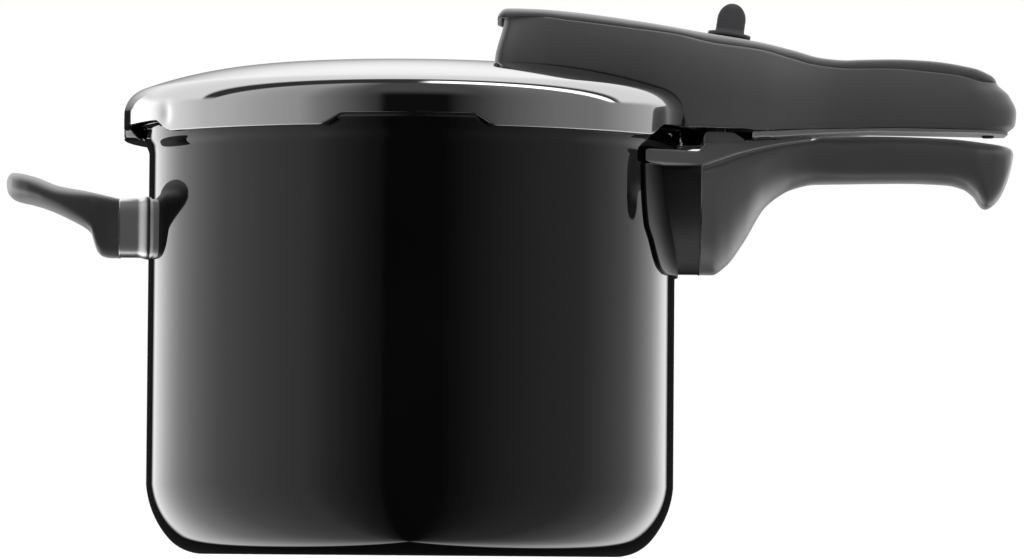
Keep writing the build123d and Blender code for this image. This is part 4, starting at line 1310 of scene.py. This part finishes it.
# --------------------------------------------------------------------------------------
# Long handle on the pot
# --------------------------------------------------------------------------------------
@dataclass
class LongHandle:
    """The lower long handle: shell with a finger hook, inlay with its block, and flame guard."""

    datum: Datum
    root: float = 10.7
    end: float = 144.8
    inlay_end: float = 57.5
    play: float = 2.1
    guard_sheet: float = 1.2
    leaf: float = 1.4
    keel: float = 0.62
    bolt_travel: float = 4.0
    pocket_side: float = 1.2
    pocket_room: float = 0.4
    edge: float = 0.35

    def __post_init__(self) -> None:
        """Draws the outlines and places the pocket that the lock bolt drops into."""
        self.pocket_half = corner("lock_bolt", True).y + self.pocket_side
        self.pocket_z = corner("lock_bolt", False).z - self.bolt_travel - self.pocket_room
        out, side = self.datum.out, self.datum.side
        self.half = side(
            (-14.5, 58.2), (-5.5, 51.7), (2.5, 46.3), (10.6, 41.0), (19.5, 36.4), (27.5, 32.4), (35.5, 28.5),
            (43.5, 24.9), (51.5, 21.6), (59.5, 19.1), (67.5, 17.5), (75.5, 16.7), (83.5, 16.2), (110.0, 16.2),
            (126.8, 16.2), (135.0, 14.6), (139.5, 12.2), (142.5, 8.6), (144.2, 4.4), (144.8, 0.4),
        )
        self.top = out(
            (10.6, -18.1), (14.6, -16.8), (27.0, -12.2), (41.8, -8.3), (57.5, -5.3), (62.0, -4.0),
            (69.5, -3.3),
            (84.5, -2.9), (113.5, -3.6), (134.0, -5.6), (140.5, -6.7), (143.5, -7.9), (144.8, -10.1),
        )
        self.under = out(
            (10.6, -62.7), (15.9, -62.7), (22.0, -58.8), (29.4, -48.8), (38.0, -34.3), (43.5, -29.4),
            (49.5, -26.0), (59.5, -23.6), (70.0, -23.3), (100.5, -22.8), (116.5, -23.4), (123.5, -25.1),
            (127.8, -28.2), (131.4, -33.1), (133.0, -33.7), (134.5, -33.2), (138.4, -29.5), (141.4, -23.5),
            (143.1, -18.3), (144.8, -10.4),
        )
        self.seam = out(
            (-32.5, -18.1), (10.6, -18.1), (14.6, -16.7), (27.0, -12.1), (41.8, -8.2), (57.5, -5.4)
        )
        self.inlay_top = out(
            (-32.5, -11.9), (8.5, -11.9), (10.6, -10.2), (12.2, -8.2), (28.8, -7.0), (42.8, -5.9),
            (57.5, -4.2),
        )

    def shell_place(self, along: float, around: float) -> Sequence[float]:
        """Point on the shell.

        Args:
            along: Share of the way from root to end.
            around: Share of the way round the section.

        Returns:
            The point in millimetres.
        """
        reach = 1 - (1 - along) ** 1.25
        x = mix(self.datum.wall + self.root, self.datum.wall + self.end, reach)
        high, low, half = self.top(x), self.under(x), self.half(x)
        grip = ease(self.datum.wall + 42, self.datum.wall + 72, x)
        angle = math.tau * around
        power = mix(9.0, 3.2, grip) if math.sin(angle) > 0 else mix(3.0, 2.9, grip)
        across, up = rounded(angle, power)
        waist = 1 - mix(self.keel, 0.08, grip) * max(0.0, (1 - up) / 2) ** mix(1.7, 2.0, grip)
        middle = (high + low) / 2
        return (x, across * half * waist, middle + up * (high - low) / 2)

    def inlay_place(self, along: float, around: float) -> Sequence[float]:
        """Point on the inlay.

        Args:
            along: Share of the way from the pot to the inlay's end.
            around: Share of the way round the section.

        Returns:
            The point in millimetres.
        """
        across, up = rounded(math.tau * around, 9.0)
        inner_r = self.datum.wall + self.play
        spread = math.radians(30.6) * across
        inner_x, inner_y = inner_r * math.cos(spread), inner_r * math.sin(spread)
        x = mix(inner_x, self.datum.wall + self.inlay_end, along)
        side = mix(inner_y / self.half(inner_x), across, along ** 0.8)
        low, high = self.seam(x), self.inlay_top(x)
        return (x, side * self.half(x), mix(low, high, (up + 1) / 2))

    def block_place(self, along: float, around: float) -> Sequence[float]:
        """Point on the block that the lock bolt drops into.

        Args:
            along: Share of the way across the handle.
            around: Share of the way round the section.

        Returns:
            The point in millimetres.
        """
        rim, wall = self.datum.rim, self.datum.wall
        across, up = rounded(math.tau * around, 8.0)
        low, high = rim - 9.5, rim - 3.7
        y = mix(-38.0, 33.0, along)
        if abs(y) < self.pocket_half:
            high = self.pocket_z
        z = mix(low, high, (up + 1) / 2)
        far = wall + mix(28.8, 24.5, ease(rim - 7.2, rim - 3.7, z))
        x = mix(wall + 11.6, far, (across + 1) / 2)
        edge = self.half(x) - 0.4
        return (x, max(-edge, min(edge, y)), z)

    def guard_place(self, around: float, along: float) -> Sequence[float]:
        """Point on the guard's side, which is open at the top.

        Args:
            around: Share of the way from one top edge round the keel to the other.
            along: 0 on the pot's wall, 1 at the handle.

        Returns:
            The point in millimetres.
        """
        across, up = rounded(-math.pi * around, 9.0 if around in (0.0, 1.0) else 3.0)
        rim = self.datum.rim
        high, low = rim - 18.2, rim - 62.6
        z = mix(high, low, -up)
        share = (z - low) / (high - low)
        pinch = 1 - self.keel * (1 - share) ** 1.7
        y = across * 41.0 * pinch
        start = math.sqrt(max(0.0, (self.datum.wall + 0.1) ** 2 - y * y))
        x = mix(start, self.datum.wall + self.root - 0.05, along)
        return (x, y, z)

    def leaf_place(self, across: float, up: float) -> Sequence[float]:
        """Point on the leaf that lies against the pot.

        Args:
            across: Share of the way from one side to the other.
            up: 0 at the foot, 1 at the top.

        Returns:
            The point in millimetres.
        """
        rim = self.datum.rim
        z = mix(rim - 64.0, rim - 18.2, up)
        half = Course(
            (rim - 64.0, 34.0), (rim - 62.0, 40.5), (rim - 58.0, 45.0), (rim - 50.0, 50.0),
            (rim - 43.7, 54.0),
            (rim - 30.0, 56.3), (rim - 18.2, 57.0),
        )
        y = (2 * across - 1) * half(z)
        radius = self.datum.wall + self.leaf + 0.05
        return (math.sqrt(radius * radius - y * y), y, z)

    def build(self) -> None:
        """Builds and dresses the handle and its guard."""
        rim, wall = self.datum.rim, self.datum.wall
        shell = shaped_grid("long_handle_grip", 220, 96, self.shell_place)
        dress(shell, SMOOTH, "pot", "smooth_plastic", "long_handle_shell")
        inlay = shaped_grid("long_handle_inlay", 60, 120, self.inlay_place)
        dress(inlay, GRAINED, "pot", "grained_plastic", "long_handle_top")
        block = shaped_grid("lock_block", 60, 64, self.block_place)
        dress(block, GRAINED, "pot", "grained_plastic")
        guard = shaped_grid("guard_sides", 96, 14, self.guard_place, inside=(wall + 6, 0, rim - 35))
        thicken(guard, self.guard_sheet)
        dress(guard, GUARD_STEEL, "pot", "dark_steel", "flame_guard")
        # The edge rolls get the lighter edge steel: a painted highlight along the guard's edges.
        for name, around in (("guard_edge_front", 0.0), ("guard_edge_back", 1.0)):
            start, stop = Vector(self.guard_place(around, 0.03)), Vector(self.guard_place(around, 0.99))
            roll = edge_roll(name, lambda u: tuple(start.lerp(stop, u)), self.edge, Vector((0, 0, 1)))
            dress(roll, EDGE_HIGHLIGHT_STEEL, "pot", "dark_steel")
        roll = edge_roll("guard_edge_end", lambda u: self.guard_place(u, 0.97), self.edge, Vector((1, 0, 0)))
        dress(roll, EDGE_HIGHLIGHT_STEEL, "pot", "dark_steel")
        roll = edge_roll(
            "guard_edge_leaf",
            lambda u: self.leaf_place(mix(0.02, 0.98, u), 1.0), self.edge, Vector((0, 0, 1)),
        )
        dress(roll, EDGE_HIGHLIGHT_STEEL, "pot", "dark_steel")
        leaf = shaped_grid("guard_leaf", 72, 40, self.leaf_place, inside=(0, 0, rim - 40))
        thicken(leaf, self.leaf - 0.1)
        soften(leaf, 0.35)
        dress(leaf, GUARD_STEEL, "pot", "dark_steel")


# --------------------------------------------------------------------------------------
# Side grip
# --------------------------------------------------------------------------------------
@dataclass
class SideGrip:
    """The small helper grip: a polished sleeve and a moulded paddle."""

    datum: Datum
    sleeve_out: float = 12.2
    sleeve_half: float = 12.0
    sleeve_low: float = -57.0
    sleeve_high: float = -32.0
    sleeve_wall: float = 1.5
    flange: float = 1.6

    def __post_init__(self) -> None:
        """Draws the outlines from above and from the side, measured outwards from the wall."""
        rim = self.datum.rim
        self.top = Course(*[(x, rim + z) for x, z in (
            (12.4, -32.1), (21.5, -30.1), (37.5, -26.8), (48.5, -22.7), (54.0, -21.6), (58.0, -21.5),
            (60.3, -23.6), (60.9, -26.4),
        )])
        self.under = Course(*[(x, rim + z) for x, z in (
            (12.4, -57.4), (16.5, -57.3), (19.8, -56.6), (21.6, -54.8), (22.8, -51.5), (23.9, -47.9),
            (27.0, -44.8), (31.4, -42.4), (45.0, -36.8), (57.1, -33.1), (59.6, -31.0), (60.9, -27.0),
        )])
        self.half = Course(
            (12.4, 12.8), (16.5, 14.0), (20.5, 16.4), (24.5, 19.8), (28.5, 23.3), (32.5, 26.7), (36.5, 29.7),
            (40.5, 32.0), (44.5, 33.7), (48.5, 33.9), (52.5, 32.1), (56.5, 27.5), (59.0, 19.5), (60.4, 9.0),
            (60.9, 0.4),
        )

    def paddle_place(self, along: float, around: float) -> Sequence[float]:
        """Point on the paddle.

        Args:
            along: Share of the way from the sleeve to the end.
            around: Share of the way round the section.

        Returns:
            The point in millimetres.
        """
        out = mix(12.4, 60.9, 1 - (1 - along) ** 1.35)
        high, low, half = self.top(out), self.under(out), self.half(out)
        across, up = rounded(math.tau * around, mix(3.6, 2.3, ease(18, 40, out)))
        dish = 1.2 * ease(26, 44, out) * (1 - ease(50, 58, out)) * (1 - across * across)
        z = (high + low) / 2 + up * ((high - low) / 2 - dish * 0.5)
        return (-self.datum.wall - out, across * half, z)

    def sleeve_place(self, around: float, along: float) -> Sequence[float]:
        """Point on the sleeve.

        Args:
            around: Share of the way round the section.
            along: 0 on the pot's wall, 1 under the paddle.

        Returns:
            The point in millimetres.
        """
        across, up = rounded(math.tau * around, 4.5)
        rim = self.datum.rim
        flare = self.flange * (1 - ease(0.0, 0.28, along))
        low, high = rim + self.sleeve_low, rim + self.sleeve_high
        y = across * (self.sleeve_half + flare * 0.8)
        z = (low + high) / 2 + up * ((high - low) / 2 + flare * 0.5)
        start = math.sqrt((self.datum.wall + 0.1) ** 2 - y * y)
        return (-mix(start, self.datum.wall + self.sleeve_out, along ** 0.8), y, z)

    def build(self) -> None:
        """Builds and dresses the grip."""
        rim, wall = self.datum.rim, self.datum.wall
        paddle = shaped_grid("side_grip_paddle", 110, 84, self.paddle_place)
        dress(paddle, SIDE_GRIP_PLASTIC, "pot", "grip_plastic", "side_handle_grip", "side_handle_screw")
        sleeve = shaped_grid(
            "side_grip_sleeve", 96, 26, self.sleeve_place, inside=(-wall - 5, 0, rim - 44.5)
        )
        thicken(sleeve, self.sleeve_wall)
        dress(sleeve, SLEEVE_STEEL, "pot", "polished_steel", "side_handle_bracket")


# --------------------------------------------------------------------------------------
# Selector
# --------------------------------------------------------------------------------------
@dataclass
class Selector:
    """The pressure selector: a round foot with a thumb fin, on its tilted axis."""

    datum: Datum
    out: float = 22.5
    up: float = 38.3
    tilt: float = 8.0
    foot_r: float = 9.2
    foot_low: float = 1.2
    foot_high: float = 2.8
    fin_half: float = 6.1
    fin_top: float = 15.7
    fin: float = 5.2
    fin_taper: float = 0.22

    def matrix(self) -> Matrix:
        """Place of the selector's axis.

        Returns:
            The transform from the knob's own frame, in metres.
        """
        place = Vector((self.datum.wall + self.out, 0, self.datum.rim + self.up)) * MM
        return Matrix.Translation(place) @ Matrix.Rotation(math.radians(self.tilt), 4, "Y")

    def fin_place(self, along: float, around: float) -> Sequence[float]:
        """Point on the fin, in the knob's own frame.

        Args:
            along: Share of the way up the fin.
            around: Share of the way round its section.

        Returns:
            The point in millimetres.
        """
        low = self.foot_high - 0.3
        z = mix(low, self.fin_top, math.sin(along * math.pi / 2))
        arch_start = self.fin_top - self.fin_half * 1.2
        above = min(1.0, max(0.0, (z - arch_start) / (self.fin_top - arch_start)))
        half = self.fin_half * math.sqrt(max(0.0004, 1 - above * above))
        root = 1.1 * (1 - ease(low, low + 2.2, z))
        taper = (1 - self.fin_taper * ease(low, self.fin_top, z)) * math.sqrt(max(0.02, 1 - above ** 6))
        thick = (self.fin / 2) * taper
        across, side = rounded(math.tau * around, 4.0)
        return (across * (half + root * 0.25), side * (thick + root), z)

    def build(self) -> None:
        """Builds and dresses the knob."""
        fin = shaped_grid("selector_fin", 40, 56, self.fin_place)
        fin.data.transform(self.matrix())
        walk = Walk((0, self.foot_low), 0).to((self.foot_r - 0.6, self.foot_low)).turn(0.6, 90, 5)
        walk.to((self.foot_r, self.foot_high - 0.5)).turn(0.5, 90, 4).to((0, self.foot_high))
        foot = turned("selector_foot", walk.points, 96, matrix=self.matrix())
        dress(foot, KNOB_PLASTIC, "selector", "knob_plastic", "selector_knob")
        dress(fin, KNOB_PLASTIC, "selector", "knob_plastic")


@dataclass
class Spring:
    """A coil spring on the lid."""

    node: str
    joint: str
    travel: float
    lean: Point2
    from_top: bool
    turns: float = 4.0
    wire: float = 0.3

    def build(self) -> None:
        """Builds and dresses the spring."""
        low, high = corner(self.node, False), corner(self.node, True)
        middle, outer = (low + high) / 2, (high.y - low.y) / 2
        slope, turn = (math.radians(angle) for angle in self.lean)
        axis = Vector((math.sin(slope) * math.cos(turn), math.sin(slope) * math.sin(turn), math.cos(slope)))
        length = (high.z - low.z - 2 * outer * math.sin(slope)) / math.cos(slope) - 2 * self.wire
        side = axis.cross(Vector((0, 1, 0))).normalized()
        other = axis.cross(side)

        def place(along: float, around: float) -> Sequence[float]:
            """Point on the wire.

            Args:
                along: Share of the way along it.
                around: Share of the way round its section.

            Returns:
                The point in millimetres.
            """
            angle, section = math.tau * self.turns * along, math.tau * around
            out = side * math.cos(angle) + other * math.sin(angle)
            reach = outer - self.wire * (1 - math.cos(section))
            rise = (along - 0.5) * length + self.wire * math.sin(section)
            return tuple(middle + out * reach + axis * rise)

        coil = shaped_grid(self.node + "_coil", 240, 10, place)
        dress(coil, SPRING_STEEL, "lid", "spring_steel", self.node)
        end = middle + axis * (length / 2 + self.wire) * (1 if self.from_top else -1)
        full = length + 2 * self.wire
        keep = (full - self.travel) / full
        tuple(end * MM)
        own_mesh(coil)


# --------------------------------------------------------------------------------------
# CAD nodes that stay, studio and camera
# --------------------------------------------------------------------------------------
KEPT: dict[str, Finish] = {
    "long_handle_bracket": BRACKET_STEEL,
    "long_handle_screw": FASTENER_STEEL,
    "sealing_ring": SILICONE,
    "lid_handle_base": BASE_PLASTIC,
    "lid_handle_rails": BRACKET_STEEL,
    "lid_handle_screws": FASTENER_STEEL,
    "handle_bumper": NUB_RUBBER,
    "valve_housing": VALVE_STEEL,
    "valve_gasket": SILICONE,
    "valve_nut": VALVE_STEEL,
    "valve_cap": VALVE_STEEL,
    "valve_piston": VALVE_STEEL,
    "safety_valve_body": VALVE_STEEL,
    "safety_nut": VALVE_STEEL,
    "safety_cap": VALVE_STEEL,
    "safety_plunger": BRASS,
    "indicator_seat": SILICONE,
    "indicator_stem": VALVE_STEEL,
    "indicator_cap": GRAINED,
    "selector_bush": BUSH_PLASTIC,
    "selector_shaft": BASE_PLASTIC,
    "lock_bolt": BRACKET_STEEL,
}


def dress_kept_nodes() -> None:
    """Gives each CAD node that still shows its finish."""
    for name, finish in KEPT.items():
        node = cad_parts[name]
        node.data.materials.clear()
        node.data.materials.append(finish.material())
        log.info("%s: kept from the frame, %s", name, finish.name)


@dataclass
class Studio:
    """A pale floor, a white backdrop, wraparound soft light and the camera."""

    sweep: Sequence[Point2] = (
        (-180, 0.02), (-153, 0.02), (-149, 3.0), (-138, 2.8), (-120, 1.9), (-90, 1.1), (-60, 0.75),
        (-45, 0.63), (-36, 0.39), (-27, 0.24), (-18, 0.12), (-12.5, 0.07), (-10.5, 0.01), (14.5, 0.01),
        (17, 0.03), (26, 0.09), (35, 0.165), (44, 0.24), (61, 0.34), (80, 0.39),
        (110, 0.9), (130, 1.8), (143, 3.0), (149, 3.0), (153, 0.02), (180, 0.02),
    )
    overhead: float = 0.07
    strip: float = 4.0
    behind: float = 1.6
    behind_low: float = 0.2
    front_fill: float = 0.14
    fill_start: Point2 = (16, 44)
    shade_start: Point2 = (74, 79)
    strip_start: Point2 = (76, 79)
    strip_end: Point2 = (88, 92)
    crown_start: Point2 = (97, 105)
    distance: float = 2.7
    camera_x: float = 0.043
    camera_z: float = 0.001
    aim_z: float = 0.1183
    roll: float = 0.0078
    view_width: float = 0.4377

    def world(self) -> None:
        """Lights the scene by direction. The backdrop is white where the camera sees it."""
        world = bpy.data.worlds.new("soft_studio")
        bpy.context.scene.world = world
        world.use_nodes = True
        graph = Graph(world.node_tree)
        direction = graph.node("ShaderNodeTexCoord", output="Generated")
        parts = graph.node("ShaderNodeSeparateXYZ", {}, {0: direction})
        x, y, z = (Value(graph, parts.socket.node.outputs[i]) for i in range(3))
        around = graph.node("ShaderNodeMath", {"operation": "ARCTAN2"}, {0: x, 1: -1.0 * y})
        share = around / math.tau + 0.5
        stops = [(angle / 360 + 0.5, level) for angle, level in self.sweep]
        level = graph.node("ShaderNodeValToRGB", {"stops": stops}, {"Fac": share})
        level = graph.node("ShaderNodeSeparateColor", {}, {0: level})
        height = graph.node("ShaderNodeMath", {"operation": "ARCSINE"}, {0: z}) * (180 / math.pi)
        over = graph.node("ShaderNodeMath", {"operation": "ARCTAN2"}, {0: z, 1: -1.0 * y}) * (180 / math.pi)
        strip = over.step(*self.strip_start) * (1.0 - over.step(*self.strip_end))
        strip = strip * x.step(0.02, 0.1) * self.strip
        back = self.behind + (self.behind_low - self.behind) * over.step(148, 177)
        far = over.step(*self.crown_start)
        upper = (strip + self.overhead) * (1.0 - far) + back * far
        high, low = height.step(10, 22), height.step(4.6, 6.5)
        gate = high + (low - high) * y.step(0.8, 0.9)
        fill = graph.node("ShaderNodeMath", {"operation": "MAXIMUM"}, {0: level, 1: self.front_fill})
        level = level + over.step(*self.fill_start) * gate * (fill - level)
        level = level + gate * over.step(*self.shade_start) * (upper - level)
        path = graph.node("ShaderNodeLightPath", output="Is Diffuse Ray")
        soft = 0.8 + 0.75 * z.step(-0.3, 1.0)
        level = level + path * (soft - level)
        seen = graph.node("ShaderNodeLightPath", output="Is Camera Ray")
        light = graph.node("ShaderNodeBackground", {}, {"Color": (1, 1, 1, 1), "Strength": level})
        white = graph.node("ShaderNodeBackground", {}, {"Color": (1, 1, 1, 1), "Strength": 1.0})
        both = graph.node("ShaderNodeMixShader", {}, {0: seen, 1: light, 2: white})
        graph.node("ShaderNodeOutputWorld", {}, {"Surface": both})

    def floor(self) -> None:
        """Lays the pale floor."""
        bm = bmesh.new()
        bmesh.ops.create_grid(bm, x_segments=1, y_segments=1, size=6)
        floor = finish_mesh(bm, "floor", Facing.AWAY, Vector((0, 0, -1)))
        made = bpy.data.materials.new("pale_floor")
        made.use_nodes = True
        graph = Graph(made.node_tree)
        graph.surface({
            "Base Color": graph.tint(graph.noise(3, 2), (0.86, 0.86, 0.86), (0.9, 0.9, 0.9)),
            "Roughness": 0.6,
        })
        floor.data.materials.append(made)
        floor.visible_glossy = False

    def camera(self) -> None:
        """Places the camera low in front, tilted up a little."""
        data = bpy.data.cameras.new("camera")
        data.sensor_width = 36
        data.lens = 36 * self.distance / self.view_width
        data.clip_end = 100
        camera = bpy.data.objects.new("camera", data)
        bpy.context.scene.collection.objects.link(camera)
        place = Vector((self.camera_x, -self.distance, self.camera_z))
        aim = Vector((self.camera_x, 0, self.aim_z)) - place
        turn = aim.to_track_quat("-Z", "Y").to_matrix().to_4x4()
        camera.matrix_world = Matrix.Translation(place) @ turn @ Matrix.Rotation(self.roll, 4, "Z")
        bpy.context.scene.camera = camera

    def build(self) -> None:
        """Builds the studio."""
        self.world()
        self.floor()
        self.camera()
        bpy.context.scene.view_settings.view_transform = "Standard"
        bpy.context.scene.view_settings.look = "None"


def main() -> None:
    logging.basicConfig(level=logging.INFO, format="%(name)s %(message)s")
    datum = Datum.read()
    lid = Lid(datum)
    springs = (
        Spring("valve_spring", "valve_lift", 2.0, (3.8, 0.0), True),
        Spring("safety_spring", "safety_lift", 1.5, (4.4, 22.1), True, turns=3.5),
        Spring("lock_spring", "lock_drop", 4.0, (0.0, 0.0), False, turns=3.5),
    )
    handles = (LidHandle(datum, lid), LongHandle(datum), SideGrip(datum), Selector(datum))
    for assembly in (Pot(datum), lid, *handles, *springs):
        log.info("building %s", type(assembly).__name__)
        assembly.build()
    dress_kept_nodes()
    Studio().build()


if __name__ == "__main__":
    main()
